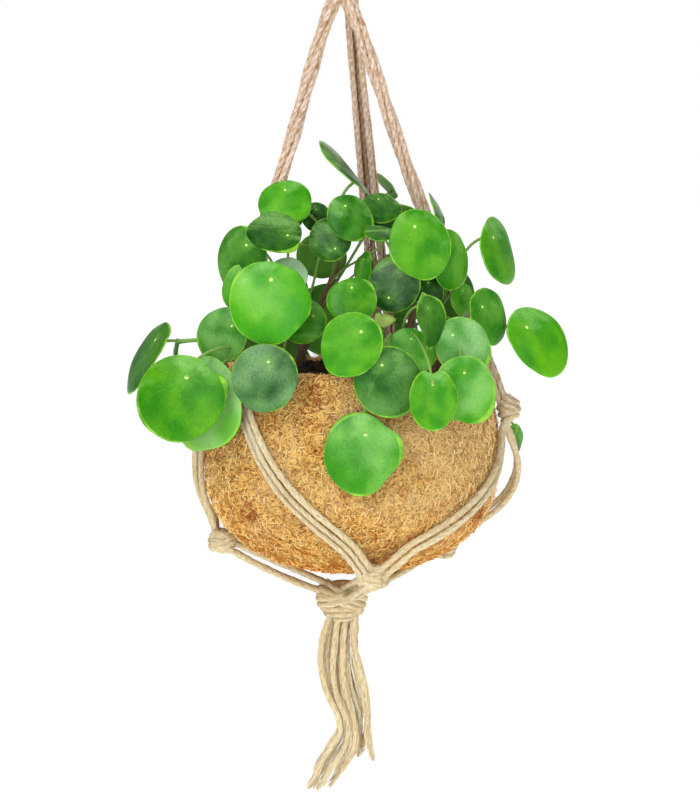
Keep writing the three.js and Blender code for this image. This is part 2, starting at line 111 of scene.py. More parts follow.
def evenly(fine, count):
    """Points evenly along a line of points."""
    steps = np.concatenate([[0], np.cumsum(np.linalg.norm(np.diff(fine, axis=0), axis=1))])
    return between(fine, np.linspace(0, steps[-1], count), steps)


def length_of(path):
    return float(np.linalg.norm(np.diff(path, axis=0), axis=1).sum())


def ring_angles(count):
    """Angles evenly round a full turn."""
    return 2 * np.pi * np.arange(count) / count


def side_by_side(*numbers):
    """Arrays and numbers that together make the last axis, each spread over all places."""
    return np.stack(np.broadcast_arrays(*numbers), axis=-1)


def per_tube(*numbers):
    """Three numbers for each tube, the same over the whole of it."""
    return side_by_side(*numbers)[:, None, None]


def tapering(shares):
    """Shares of a radius for each ring of a thin fibre, alike at its three sides."""
    return np.array(shares)[:, None] * np.ones(3)


def placed(name, data):
    """A new object of the scene, with the given mesh, lamp or camera."""
    thing = bpy.data.objects.new(name, data)
    bpy.context.collection.objects.link(thing)
    return thing


def point(thing, place, way):
    """Stands a lamp or the camera at a place, looking along way."""
    thing.location = place
    thing.rotation_mode = "QUATERNION"
    thing.rotation_quaternion = way.to_track_quat("-Z", "Y")


# Camera, at the photograph's angle: level with the plant and a little above
def make_camera():
    data = bpy.data.cameras.new("camera")
    data.sensor_width = SENSOR
    data.lens = SENSOR * EYE_DISTANCE / SEEN_HEIGHT
    camera = placed("camera", data)
    back = Vector((0, -math.cos(EYE_RAISED), math.sin(EYE_RAISED)))
    point(camera, Vector(EYE_TARGET * MM) + back * EYE_DISTANCE * MM, -back)
    bpy.context.scene.camera = camera


make_camera()


# Meshes
class Form:
    """Points, faces and values per point, gathered before they become one mesh."""

    def __init__(self):
        self.points, self.quads, self.triangles, self.values, self.count = [], [], [], {}, 0

    def add(self, points, quads=(), triangles=(), **values):
        for name, value in values.items():
            self.values.setdefault(name, []).append(np.broadcast_to(value, (len(points), 3)))
        if len(quads):
            self.quads.append(np.asarray(quads) + self.count)
        if len(triangles):
            self.triangles.append(np.asarray(triangles) + self.count)
        self.points.append(points)
        self.count += len(points)

    def piece(self, name, finish, slot, nodes):
        """The gathered mesh as a piece of the object, in place of nodes of the construction."""
        mesh = bpy.data.meshes.new(name)
        corners, starts, at = [], [], 0
        for kind, size in ((self.quads, 4), (self.triangles, 3)):
            if kind:
                stacked = np.vstack(kind)
                corners.append(stacked.ravel())
                starts.append(at + size * np.arange(len(stacked)))
                at += stacked.size
        corners, starts = np.concatenate(corners), np.concatenate(starts)
        points = np.vstack(self.points) * MM
        mesh.vertices.add(len(points))
        mesh.vertices.foreach_set("co", points.ravel())
        mesh.loops.add(len(corners))
        mesh.loops.foreach_set("vertex_index", corners.astype(np.int32))
        mesh.polygons.add(len(starts))
        mesh.polygons.foreach_set("loop_start", starts.astype(np.int32))
        mesh.polygons.foreach_set("use_smooth", np.ones(len(starts), bool))
        mesh.update(calc_edges=True)
        mesh.validate()
        for label, values in self.values.items():
            attribute = mesh.attributes.new(label, "FLOAT_VECTOR", "POINT")
            attribute.data.foreach_set("vector", np.vstack(values).astype(np.float32).ravel())
        mesh.materials.append(finish)
        piece = placed(name, mesh)
        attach(piece, "root")
        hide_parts(*nodes)
        return piece


def tube_faces(tubes, rings, sides):
    """Quads of many tubes of the same number of rings and sides, with the end faces as triangles."""
    ring = np.arange(rings - 1)[:, None] * sides
    side = np.arange(sides)[None, :]
    after = (side + 1) % sides
    quads = np.stack([ring + side, ring + after, ring + sides + after, ring + sides + side], axis=-1)
    i = np.arange(1, sides - 1)
    first = np.stack([np.zeros_like(i), i + 1, i], axis=-1)
    last = np.stack([np.zeros_like(i), i, i + 1], axis=-1) + (rings - 1) * sides
    shift = (np.arange(tubes) * rings * sides)[:, None, None]
    quads = (quads.reshape(1, -1, 4) + shift).reshape(-1, 4)
    triangles = (np.vstack([first, last])[None] + shift).reshape(-1, 3)
    return quads, triangles


def tubes(form, paths, outward, reach, **values):
    """Tubes along paths of shape (tubes, rings, 3). reach gives each ring's radius at each side,
    and outward is the direction that side 0 faces."""
    paths = np.asarray(paths, float)
    reach = np.broadcast_to(reach, paths.shape[:2] + (np.shape(reach)[-1],))
    sides = reach.shape[-1]
    along = unit(np.gradient(paths, axis=1))
    across = unit(np.cross(along, np.broadcast_to(outward, paths.shape)))
    lift = np.cross(across, along)
    turn = ring_angles(sides)
    ring = lift[:, :, None] * np.cos(turn)[:, None] + across[:, :, None] * np.sin(turn)[:, None]
    points = paths[:, :, None] + ring * reach[..., None]
    shape = points.shape[:3]
    spread = {}
    for name, value in values.items():
        spread[name] = np.broadcast_to(value, shape + (3,)).reshape(-1, 3)
    quads, triangles = tube_faces(*shape)
    form.add(points.reshape(-1, 3), quads, triangles, **spread)


# Finishes
class Field:
    """A number that changes over a surface: a node's socket with ordinary arithmetic."""

    def __init__(self, finish, socket):
        self.finish, self.socket = finish, socket

    def __add__(self, other):
        return self.finish.math("ADD", self, other)

    def __sub__(self, other):
        return self.finish.math("SUBTRACT", self, other)

    def __rsub__(self, other):
        return self.finish.math("SUBTRACT", other, self)

    def __mul__(self, other):
        return self.finish.math("MULTIPLY", self, other)

    def __pow__(self, other):
        return self.finish.math("POWER", self, other)

    def __abs__(self):
        return self.finish.math("ABSOLUTE", self)

    __radd__ = __add__
    __rmul__ = __mul__


class Finish:
    """A material whose nodes are added one expression at a time."""

    def __init__(self, name):
        self.material = bpy.data.materials.new(name)
        self.material.use_nodes = True
        self.tree = self.material.node_tree
        self.tree.nodes.clear()

    def node(self, kind, settings=None, inputs=None):
        node = self.tree.nodes.new("ShaderNode" + kind)
        for name, value in (settings or {}).items():
            setattr(node, name, value)
        for name, value in (inputs or {}).items():
            if isinstance(value, Field):
                self.tree.links.new(value.socket, node.inputs[name])
            else:
                node.inputs[name].default_value = value
        return node

    def out(self, node, name=0):
        return Field(self, node.outputs[name])

    def math(self, operation, *terms):
        return self.out(self.node("Math", {"operation": operation}, dict(enumerate(terms))))

    def step(self, value, low, high):
        """0 below low, 1 above high and smooth between."""
        inputs = {"Value": value, "From Min": low, "From Max": high}
        return self.out(self.node("MapRange", {"interpolation_type": "SMOOTHSTEP"}, inputs))

    def value(self, name):
        """The three numbers that are kept per point under a name."""
        return self.parts(self.out(self.node("Attribute", {"attribute_name": name}), "Vector"))

    def parts(self, vector):
        split = self.node("SeparateXYZ", None, {0: vector})
        return [self.out(split, axis) for axis in "XYZ"]

    def place(self):
        return self.out(self.node("TexCoord"), "Object")

    def vector(self, x, y, z):
        return self.out(self.node("CombineXYZ", None, {"X": x, "Y": y, "Z": z}))

    def noise(self, where, scale, detail=3.0, roughness=0.55):
        inputs = {"Vector": where, "Scale": scale, "Detail": detail, "Roughness": roughness}
        return self.out(self.node("TexNoise", None, inputs), "Fac")

    def blend(self, first, second, share):
        """Colour first turning into colour second as share goes from 0 to 1."""
        settings = {"data_type": "RGBA", "clamp_factor": True}
        return self.out(self.node("Mix", settings, {0: share, 6: first, 7: second}), 2)

    def coats(self, colour, *coats):
        """A colour under coats of other colours, each with its share from 0 to 1."""
        for coat, share in coats:
            colour = self.blend(colour, coat, share)
        return colour

    def bump(self, height, distance, strength=1.0):
        inputs = {"Height": height, "Distance": distance, "Strength": strength}
        return self.out(self.node("Bump", None, inputs), "Normal")

    def surface(self, colour, roughness, normal=None, specular=0.5, glow=0.0):
        inputs = {"Base Color": colour, "Roughness": roughness, "Specular IOR Level": specular,
                  "Emission Strength": glow}
        if normal:
            inputs["Normal"] = normal
        shader = self.node("BsdfPrincipled", None, inputs)
        self.node("OutputMaterial", None, {"Surface": self.out(shader)})
        return self.material


def rgb(red, green, blue):
    """A colour as it looks on a screen, 0 to 255, as the light that it reflects."""
    screen = np.array([red, green, blue]) / 255
    light = np.where(screen <= 0.04045, screen / 12.92, ((screen + 0.055) / 1.055) ** 2.4)
    return (*[float(v) for v in light], 1.0)


LEAF_OLD, LEAF_OLD_BLUISH = rgb(10, 66, 0), rgb(14, 66, 16)
LEAF_FRESH, LEAF_FRESH_YELLOW = rgb(60, 156, 10), rgb(92, 172, 10)
LEAF_PALEST = rgb(196, 226, 120)
LEAF_VEIN = rgb(122, 186, 84)
LEAF_HEART = rgb(118, 190, 60)
# The next colour is painted sheen: pale patches that stand in for the room's reflection on the upper
# face
LEAF_PAINTED_SHEEN = rgb(170, 208, 162)
# The next colour is a painted highlight: a soft pale band toward the top of each leaf
LEAF_PAINTED_HIGHLIGHT = rgb(148, 206, 112)
LEAF_SPECK = rgb(146, 196, 96)
LEAF_RIM = rgb(142, 200, 62)
LEAF_SEAT = rgb(206, 240, 136)
# The undersides' colour is kept dark, as painted shade for the inside of the plant where they are seen
LEAF_UNDER = rgb(84, 132, 56)
VEIN_TURNS = 4
# How fine each pattern of a blade is
CLOUDS, BLOTCHES, MOTTLE, SPECKS = 1.1, 3.6, 14.0, 40.0


def leaf_finish():
    f = Finish("waxy_leaf")
    along, across, under = f.value("blade")
    bright, sheen, seed = f.value("tone")
    up = f.value("upward")[0]
    out = (along * along + across * across) ** 0.5
    from_seat = along + STALK_SEAT
    reach = (from_seat * from_seat + across * across) ** 0.5
    flat = f.vector(along, across, seed * 53)
    cloud = f.noise(flat, CLOUDS, 1.0)
    blotch = f.noise(flat, BLOTCHES, 4.0, 0.6)
    mottle = f.noise(flat, MOTTLE, 4.0, 0.7)

    crook = f.noise(f.vector(along, across, seed * 31), 2.2, 2.0) - 0.5
    angle = f.math("ARCTAN2", across, from_seat) + crook * 0.35
    vein = 1 - f.step(abs(f.math("SINE", angle * VEIN_TURNS)) * reach, 0.0, 0.075)
    vein = vein * f.step(reach, 0.05, 0.2) * (1 - f.step(out, 0.6, 0.95))

    # Painted sheen on bluish leaves and a painted highlight on all, more of both toward the leaf's top
    patch = f.noise(flat, CLOUDS, 1.0, 0.4) + up * 0.13 + (0.6 - out) * 0.14 + sheen * 0.15
    painted_sheen = f.step(patch, 0.32, 0.90) * sheen * 0.5 * (0.75 + (mottle - 0.5) * 1.4)
    # A painted highlight in a band toward the top of each leaf
    highlight_band = f.noise(f.vector(up * 1.4, across * 0.8, seed * 17), 1.6, 2.0) + up * 0.22
    painted_highlight = f.step(highlight_band + out * 0.1, 0.56, 0.84) * (0.6 + (mottle - 0.5) * 1.6) * 0.65

    dark = f.blend(LEAF_OLD, LEAF_OLD_BLUISH, sheen)
    light = f.blend(LEAF_FRESH, LEAF_FRESH_YELLOW, f.step(cloud, 0.35, 0.65))
    share = bright + (cloud - 0.5) * 0.55 + (blotch - 0.5) * 0.5 + (mottle - 0.5) * 0.45
    colour = f.coats(
        f.blend(dark, light, share),
        (LEAF_PALEST, bright - 1),
        (LEAF_VEIN, vein * 0.12),
        (LEAF_HEART, (1 - f.step(reach, 0.05, 0.34)) * 0.2),
        (LEAF_PAINTED_SHEEN, painted_sheen),
        (LEAF_PAINTED_HIGHLIGHT, painted_highlight),
        (LEAF_SPECK, f.step(f.noise(flat, SPECKS, 2.0), 0.62, 0.72) * 0.3),
        (LEAF_RIM, f.step(out, 0.955, 0.98) * (0.3 + f.step(blotch, 0.4, 0.6) * 0.5)),
        (LEAF_SEAT, 1 - f.step(reach, 0.025, 0.06)),
        (LEAF_UNDER, under * 0.7))
    height = vein * -0.05 + blotch * 0.3 + mottle * 0.16
    rough = 0.30 + (mottle - 0.5) * 0.2 + under * 0.25
    return f.surface(colour, rough, f.bump(height, 0.0009, 0.5), 0.14)


STALK_FOOT, STALK_GREEN, STALK_SHADE = rgb(118, 112, 60), rgb(128, 172, 74), rgb(96, 140, 52)
# The bark colours are darkened, as painted shade for the woody stem deep among the leaves
BARK_DARK, BARK_LIGHT = rgb(64, 52, 30), rgb(138, 112, 76)


def stalk_finish():
    f = Finish("leaf_stalk")
    up, woody, _ = f.value("tone")
    grain = f.noise(f.place(), 420.0, 3.0)
    bark = f.blend(BARK_DARK, BARK_LIGHT, f.noise(f.place(), 300.0, 5.0, 0.7))
    colour = f.coats(STALK_FOOT, (STALK_GREEN, f.step(up, 0.0, 0.35)), (STALK_SHADE, grain * 0.6),
                     (bark, woody))
    return f.surface(colour, 0.45 + woody * 0.4 + grain * 0.1, f.bump(grain, 0.0006, 0.6))


JUTE_PINK_DARK, JUTE_PINK_LIGHT = rgb(206, 164, 128), rgb(255, 238, 222)
JUTE_STRAW_DARK, JUTE_STRAW_LIGHT = rgb(226, 202, 146), rgb(255, 244, 210)
JUTE_TINT = rgb(214, 180, 128)
JUTE_BROWN = rgb(156, 108, 66)
JUTE_PATCH = rgb(176, 128, 80)
JUTE_LOOSE = rgb(244, 232, 206)
# Patterns of the jute: how fine each is along the twine and round it, its detail and its roughness
STREAKS = (0.26, 1.6, 5.0, 0.7)
FINE_FIBRES = (0.8, 4.5, 4.0, 0.7)
PATCHES = (0.09, 0.3, 3.0, 0.6)
TINTS = (0.012, 0.0, 1.0, 0.55)


def jute_finish():
    f = Finish("jute_twine")
    run, over, beside = f.value("lay")
    crease, low, loose = f.value("strand")

    def pattern(along, around, detail, roughness):
        where = f.vector(run * along, over * around, beside * around)
        return f.noise(where, 1.0, detail, roughness)

    streak, fine, patch, tint = [pattern(*p) for p in (STREAKS, FINE_FIBRES, PATCHES, TINTS)]
    upper = f.blend(JUTE_PINK_DARK, JUTE_PINK_LIGHT, f.step(streak, 0.36, 0.60))
    lower = f.blend(JUTE_STRAW_DARK, JUTE_STRAW_LIGHT, f.step(streak, 0.34, 0.64))
    colour = f.coats(
        f.blend(upper, lower, low),
        (JUTE_TINT, f.step(tint, 0.42, 0.62) * 0.28),
        (JUTE_BROWN, f.step(fine, 0.56, 0.68) * 0.65),
        (JUTE_PATCH, f.step(patch, 0.58, 0.70) * (0.65 - low * 0.25)),
        # Painted shade: brown laid into the creases between plies, on a strand's side that faces the
        # rest of its rope, and over knot cores
        (JUTE_BROWN, crease ** 3 * (0.45 - low * 0.25)),
        (JUTE_LOOSE, loose * 0.6))
    return f.surface(colour, 0.9, f.bump(streak + fine, 0.0010, 1.0), 0.1)


# The second colour is painted shade in the mat's holes and between its threads
COIR_GOLD, COIR_HOLLOW_SHADE = rgb(255, 208, 118), rgb(124, 70, 20)
COIR_BLEACHED = rgb(248, 216, 152)
# How fine the two webs of holes in the mat are, how its threads lean in degrees, and how fine they
# are along and across
MAT_WEBS = (300.0, 520.0)
MAT_LEANS = (20, -38, 82)
THREADS_ALONG, THREADS_ACROSS = 260, 1500
# The more bleached side of the bowl, in metres: from and to a place to the right, and in height
BLEACHED_X = (-0.045, 0.085)
BLEACHED_Z = (-0.375, -0.325)


def bleached_coir(f, place):
    right, _, up = f.parts(place)
    share = f.noise(place, 34.0, 3.0) + f.step(right, *BLEACHED_X) * 0.22
    return f.step(share, 0.42, 0.78) * f.step(up, *BLEACHED_Z)


def coir_finish():
    f = Finish("coir_mat")
    place = f.place()
    stray = (f.noise(place, 260.0, 2.0) - 0.5) * 0.006
    step = f.vector(stray, 0 - stray, stray)
    strayed = f.out(f.node("VectorMath", {"operation": "ADD"}, {0: place, 1: step}))
    web = 1
    for scale in MAT_WEBS:
        cells = f.node("TexVoronoi", {"feature": "DISTANCE_TO_EDGE"},
                       {"Vector": strayed, "Scale": scale})
        web = web * f.step(f.out(cells, "Distance"), 0.02, 0.34)
    grain = f.noise(place, 640.0, 4.0, 0.7)
    right, deep, up = f.parts(place)
    beside = right + deep
    threads = 0
    for lean in MAT_LEANS:
        c, s = math.cos(math.radians(lean)), math.sin(math.radians(lean))
        where = f.vector((beside * c + up * s) * THREADS_ALONG,
                         (up * c - beside * s) * THREADS_ACROSS, lean)
        threads = f.math("MAXIMUM", threads, f.noise(where, 1.0, 2.0))
    # Painted shade: darker in the webs' holes and between the threads; the grain adds random tone
    share = web * 0.8 + (grain - 0.45) * 1.0 + (0.60 - threads) * 4.0
    colour = f.coats(COIR_GOLD, (COIR_HOLLOW_SHADE, share), (COIR_BLEACHED, bleached_coir(f, place) * 0.5))
    return f.surface(colour, 0.95, f.bump(grain - web * 0.8, 0.002, 1.0), 0.1)


FIBRE_DARK, FIBRE_PALE = rgb(196, 118, 36), rgb(255, 234, 170)
FIBRE_BLEACHED = rgb(254, 232, 180)
FIBRE_ORANGE = rgb(216, 130, 46)
FIBRE_RUST = rgb(166, 70, 20)
FIBRE_BROWN = rgb(160, 92, 36)


def coir_fibre_finish():
    f = Finish("coir_fibre")
    shade, seed, rust = f.value("tone")
    place = f.place()
    colour = f.coats(
        FIBRE_DARK,
        (COIR_GOLD, f.step(shade, 0.0, 0.45)),
        (FIBRE_PALE, f.step(shade, 0.5, 0.95)),
        (FIBRE_BLEACHED, bleached_coir(f, place) * 0.5),
        (FIBRE_ORANGE, f.step(f.noise(place, 26.0, 3.0), 0.54, 0.76) * 0.4),
        (FIBRE_RUST, f.step(rust, 0.25, 0.6) * 0.9),
        (FIBRE_BROWN, f.step(seed, 0.87, 0.91) * 0.8))
    return f.surface(colour, 0.8, specular=0.15)


SOIL_DARK, SOIL_LIGHT, SOIL_CRUMB = rgb(20, 16, 13), rgb(58, 44, 33), rgb(104, 74, 48)


def soil_finish():
    f = Finish("potting_soil")
    shade, _, _ = f.value("tone")
    grain = f.noise(f.place(), 500.0, 5.0, 0.7)
    colour = f.coats(SOIL_DARK, (SOIL_LIGHT, grain), (SOIL_CRUMB, shade * 0.7))
    return f.surface(colour, 0.9, f.bump(grain, 0.0015, 1.0), 0.25)


LEAF = leaf_finish()
STALK = stalk_finish()
JUTE = jute_finish()
COIR = coir_finish()
COIR_FIBRE = coir_fibre_finish()
SOIL = soil_finish()


# Twine: three plies twisted together, with stray fibres
R = STRAND / 2
TWIST = 19.0
RING_STEP = 1.5
FEWEST_RINGS = 6
SIDES = 12
PLIES = 3
PLY_OUT = 0.20
PLY_REACH = 0.80
# How much thicker and thinner a strand gets, over what length, and where that starts
SWELLS = ((0.05, 7.3, 1), (0.04, 2.9, 2))
# How dark the painted shade on a strand is where it faces the middle of its rope, and how slowly that
# comes
BETWEEN_SHADE = 1.4
BETWEEN_SOFT = 0.75
FRAY_LENGTH = 16.0
FRAY_THINS = 0.62
# The fibre pattern is another one on each strand
PATTERN_APART = 500
LOOSE_PATTERN_APART = 900
# The upper twine is pinker down to the first depth, and pale from the second
PINK_DEPTH = 235.0
PALE_DEPTH = 300.0
HAIRS_PER_MM = 1.2
HAIR_RADIUS = 0.07
HAIR_TAPER = (1.0, 0.85, 0.65, 0.35)
HAIR_RISE = (0.15, 1.0)
HAIR_CURL = 0.7
HAIR_ROOT = 0.8
WISP_RINGS = 8
WISP_DRIFT = 0.8
WISP_ROOT = 1.4
# The part of a half wave that a wisp follows as it leaves the twine and comes back
WISP_FROM, WISP_SPAN = 0.15, 0.7


def ply_section():
    """How far the strand's surface is from its middle at each side, and how deep in a crease."""
    half = np.pi / PLIES
    off = (ring_angles(SIDES) + half) % (2 * half) - half
    reach = PLY_OUT * np.cos(off) + np.sqrt(PLY_REACH ** 2 - (PLY_OUT * np.sin(off)) ** 2)
    return reach, np.abs(off) / half


def turning_frame(path, start=(0.31, -0.9, 0.3)):
    """A direction across the path at every point, that turns no more than the path does."""
    along = unit(np.gradient(path, axis=0))
    across = [unit(np.cross(along[0], np.array(start)))]
    for direction in along[1:]:
        before = across[-1]
        across.append(unit(before - direction * (before @ direction)))
    return along, np.array(across)


def low_share(path):
    """0 for the upper, pinker twine and 1 for the paler twine round and under the bowl."""
    return smooth(-path[:, 2], PINK_DEPTH, PALE_DEPTH)


def add_strand(form, path, radius=R, frayed_end=False, bundle=None):
    """One strand of twine along a path, with even rings. bundle is the middle line of the rope that
    it is part of, and the side that faces it gets painted shade, as do the creases between the plies."""
    path = evenly(np.asarray(path, float), max(FEWEST_RINGS, int(length_of(path) / RING_STEP)))
    run = np.linspace(0, length_of(path), len(path))
    phase = draw.uniform(0, 2 * np.pi)
    seed = draw.uniform(0, 1)
    twist = phase + 2 * np.pi * run / TWIST
    along, across = turning_frame(path)
    other = np.cross(along, across)
    outward = across * np.cos(twist)[:, None] + other * np.sin(twist)[:, None]
    section, crease = ply_section()
    uneven = np.ones(len(path))
    for size, pitch, turns in SWELLS:
        uneven = uneven + size * np.sin(run / pitch + turns * phase)
    reach = radius * section[None, :] * uneven[:, None]
    if frayed_end:
        reach = reach * (1 - FRAY_THINS * smooth(run, run[-1] - FRAY_LENGTH, run[-1]))[:, None]
    angle = twist[:, None] + ring_angles(SIDES)
    lay = side_by_side(run[:, None] + PATTERN_APART * seed, np.cos(angle), np.sin(angle))
    shade = np.broadcast_to(crease, angle.shape)
    if bundle is not None:
        toward = unit(evenly(bundle, len(path)) - path)
        out = np.sum(outward * toward, axis=1)[:, None]
        beside = np.sum(np.cross(along, outward) * toward, axis=1)[:, None]
        facing = out * np.cos(ring_angles(SIDES)) + beside * np.sin(ring_angles(SIDES))
        shade = np.maximum(shade, BETWEEN_SHADE * smooth(facing, 0.0, BETWEEN_SOFT))
    strand = side_by_side(shade, low_share(path)[:, None], 0.0)
    tubes(form, path[None], outward[None], reach[None], lay=lay[None], strand=strand[None])
    return path


def add_hairs(form, path, count, reach=(2.0, 6.0), stand=0.9, radius=HAIR_RADIUS, surface=R,
              span=(0.0, 1.0)):
    """Stray fibres that leave the twine at a slant. reach is their length, and stand how much of it
    goes outward."""
    at = draw.uniform(*span, count) * (len(path) - 1)
    spot = between(path, at)
    along, across = turning_frame(path)
    near = np.round(at).astype(int)
    turn = draw.uniform(0, 2 * np.pi, count)[:, None]
    out = across[near] * np.cos(turn) + np.cross(along[near], across[near]) * np.sin(turn)
    way = along[near] * draw.choice([-1, 1], count)[:, None]
    side = np.cross(out, way)
    length = draw.uniform(*reach, count)[:, None]
    rise = draw.uniform(*HAIR_RISE, count)[:, None] * stand
    curl = draw.uniform(-HAIR_CURL, HAIR_CURL, count)[:, None]
    paths = []
    for t in np.linspace(0, 1, len(HAIR_TAPER)):
        bend = way * (t - 0.25 * t * t) + out * rise * (t - 0.3 * t * t) + side * curl * t * t
        paths.append(spot + out * surface * HAIR_ROOT + bend * length)
    low = low_share(spot)
    seed = draw.uniform(0, LOOSE_PATTERN_APART, count)
    tubes(form, np.stack(paths, axis=1), out[:, None], radius * tapering(HAIR_TAPER),
          lay=per_tube(seed, 0.0, 1.0), strand=per_tube(0.0, low, 1.0))


def add_wisps(form, path, count, length=(8.0, 26.0), off=(1.5, 3.1), radius=0.17, first=0.04):
    """Thin loose plies that run along the twine and stand a little off it. first is the share of the
    twine where they may begin."""
    along, across = turning_frame(path)
    other = np.cross(along, across)
    share = draw.uniform(*length, count) / length_of(path)
    start = draw.uniform(first, 1, count) * (1 - share)
    turn, drift = draw.uniform(0, 2 * np.pi, count), draw.normal(0, WISP_DRIFT, count)
    far = draw.uniform(*off, count)
    paths = []
    for t in np.linspace(0, 1, WISP_RINGS):
        at = (start + share * t) * (len(path) - 1)
        near = np.round(at).astype(int)
        angle = (turn + drift * t)[:, None]
        bow = math.sin(math.pi * (WISP_FROM + WISP_SPAN * t))
        reach = (WISP_ROOT + (far - WISP_ROOT) * bow)[:, None]
        out = across[near] * np.cos(angle) + other[near] * np.sin(angle)
        paths.append(between(path, at) + reach * out)
    paths = np.stack(paths, axis=1)
    seed = draw.uniform(0, LOOSE_PATTERN_APART, count)
    low = low_share(paths[:, 0])
    tubes(form, paths, across[:1], np.full((WISP_RINGS, 3), radius),
          lay=per_tube(seed, 0.0, 1.0), strand=per_tube(0.0, low, 0.5))


# The bowl's outer surface
def bowl_radius(z, inset=0.0):
    z = np.asarray(z, float)
    reach = np.where(z < BOWL_EQUATOR_Z, BOWL_DEPTH, BOWL_RISE) - inset
    share = np.minimum(1, np.abs(z - BOWL_EQUATOR_Z) / reach) ** BOWL_ROUNDNESS
    return (BOWL_RADIUS - inset) * (1 - share) ** (1 / BOWL_ROUNDNESS)


def bowl_steepness(z):
    """The wall's outward direction at a height, as how far it goes out and how far up."""
    z = np.asarray(z, float)
    reach = np.where(z < BOWL_EQUATOR_Z, BOWL_DEPTH, BOWL_RISE)
    power = BOWL_ROUNDNESS - 1
    out = (bowl_radius(z) / BOWL_RADIUS) ** power / BOWL_RADIUS
    rise = np.sign(z - BOWL_EQUATOR_Z) * (np.abs(z - BOWL_EQUATOR_Z) / reach) ** power / reach
    size = np.hypot(out, rise)
    return out / size, rise / size


def on_bowl(azimuth, z, stand_off=0.0):
    """Points beside the bowl's wall: azimuth in degrees round its axis, standing off the wall."""
    turn = np.radians(azimuth)
    out, rise = bowl_steepness(z)
    radius = bowl_radius(z) + stand_off * out
    return side_by_side(BOWL_X + radius * np.cos(turn), radius * np.sin(turn), z + stand_off * rise)


def rim_wave(azimuth):
    """How much higher the rim is than its own level, at an azimuth in radians."""
    long, short = np.sin(3 * azimuth + 0.5), np.sin(7 * azimuth + 2)
    return RIM_WAVE * (long + 0.6 * short)


# Knots: middles and half sizes, the latter radial, tangential and upright. Those that lie on the
# bowl are placed by the azimuth, the height and how far off its wall they stand.
KNOTS = {
    "top_knot": {"centre": vector(-1, 0, -28), "half": (9, 8, 10), "turn": 0},
    "knot_left": {"azimuth": 205, "z": -262, "half": (7.5, 8, 9.5), "stand_off": 10},
    "knot_back": {"azimuth": 75, "z": -262, "half": (7.5, 8, 9.5), "stand_off": 10},
    "knot_right": {"azimuth": -5, "z": -283, "half": (7, 7, 10), "stand_off": 9},
    "knot_low_left": {"azimuth": 184, "z": -356, "half": (8.5, 11, 8.5), "stand_off": 8.5},
    "knot_low_front": {"azimuth": -80, "z": -364, "half": (8.5, 9.2, 8.8), "stand_off": 11},
    "knot_low_back": {"azimuth": 40, "z": -362, "half": (9, 13, 9.5), "stand_off": 12},
    "gather_knot": {"centre": vector(0.5, 0, -398.6), "half": (15.4, 12.5, 13.2), "turn": 0,
                    "taper": 0.2},
}
for knot in KNOTS.values():
    if "azimuth" in knot:
        knot["centre"] = on_bowl(knot["azimuth"], knot["z"], knot["stand_off"])
        knot["turn"] = knot["azimuth"]


# Tassel: twelve loose ends in three rows, each given by how far right it hangs at each level
TASSEL_LEVELS = [-404, -424, -440, -452, -462, -470, -479, -488, -497, -506, -515]
TASSEL_ROW_APART = 3.3
TASSEL_FLARE = 1.6
TASSEL_FINE_POINTS = 160
SIDE_HAIRS = {"count": 90, "reach": (1.5, 3.2), "stand": 0.5}
SIDE_WISPS = {"count": 34}
END_WISPS = {"count": 16, "length": (7.0, 14.0), "off": (1.0, 3.0), "radius": 0.26, "first": 0.86}
END_HAIRS = {"count": 60, "reach": (2.5, 4.2), "stand": 0.35, "radius": 0.19, "span": (0.94, 0.99)}
TASSEL = {
    "front": [
        [-6, -12, -12.5, -10, -5.5, -2, -1, -6.5, -12, -16, -20.5],
        [-1.5, -4.5, -5.5, -4, -1, 2.5, 4, 2, -3.5, -9.5, -15.5],
        [3, 1, 0.5, 2, 4.5, 7, 8.5, 7, 3.5],
        [7.5, 7.5, 11, 14, 15.5, 15.5, 15, 17, 19],
    ],
    "middle": [
        [-5, -8, -9, -7, -3.5, -0.5, 0, -3.5, -9, -14.5, -19],
        [-0.5, -2.5, -3, -1.5, 1.5, 4.5, 5, 1.5, -4, -9, -13],
        [4, 3, 3.5, 5.5, 8.5, 10.5, 10.5, 8, 3, -3],
        [8.5, 8, 8.5, 11, 13.5, 15.5, 16, 16.5],
    ],
    "back": [
        [-6, -10, -10, -7.5, -3, 0, -1, -6, -12, -16.5],
        [-1.5, -3.5, -3.5, -1.5, 2.5, 5, 5.5, 3, -1.5],
        [3, 2, 3.5, 6, 9, 11, 10.5, 8.5, 4.5, -1.5, -8],
        [7.5, 7.5, 9, 12, 14.5, 16, 15.5, 13.5, 9.5],
    ],
}


def make_tassel():
    last = len(TASSEL_LEVELS) - 1
    for row_side, (row, strands) in zip((-1, 0, 1), TASSEL.items()):
        for number, reach in enumerate(strands, 1):
            points = []
            for i, x in enumerate(reach):
                apart = TASSEL_ROW_APART + TASSEL_FLARE * math.sin(math.pi * i / last)
                points.append((x, row_side * apart, TASSEL_LEVELS[i]))
            form = Form()
            path = add_strand(form, through(points, TASSEL_FINE_POINTS), frayed_end=True)
            add_hairs(form, path, **SIDE_HAIRS)
            add_wisps(form, path, **SIDE_WISPS)
            add_wisps(form, path, **END_WISPS)
            add_hairs(form, path, **END_HAIRS)
            name = f"tassel_{row}_{number}"
            piece = form.piece(f"{name}_rope", JUTE, "jute", [name])
            list(path[0] * MM)
            [list(p) for p in path * MM]


make_tassel()


# Ropes between the knots. The twists are the lengths over which a rope turns once.
LEG_TWIST = 150.0
LEG_TWO_TWIST = 1500.0
LOOP_TWIST = 60.0
LOOP_HALF_WIDTH = 10.0
LOOP_FOOT = 2.5
LOOP_SIDE_Z = -16
LOOP_BEND_Z = -6
# Points along the middle line of each rope
LOOP_POINTS = 90
LEG_POINTS = 200
NET_POINTS = 80
TAIL_POINTS = 60
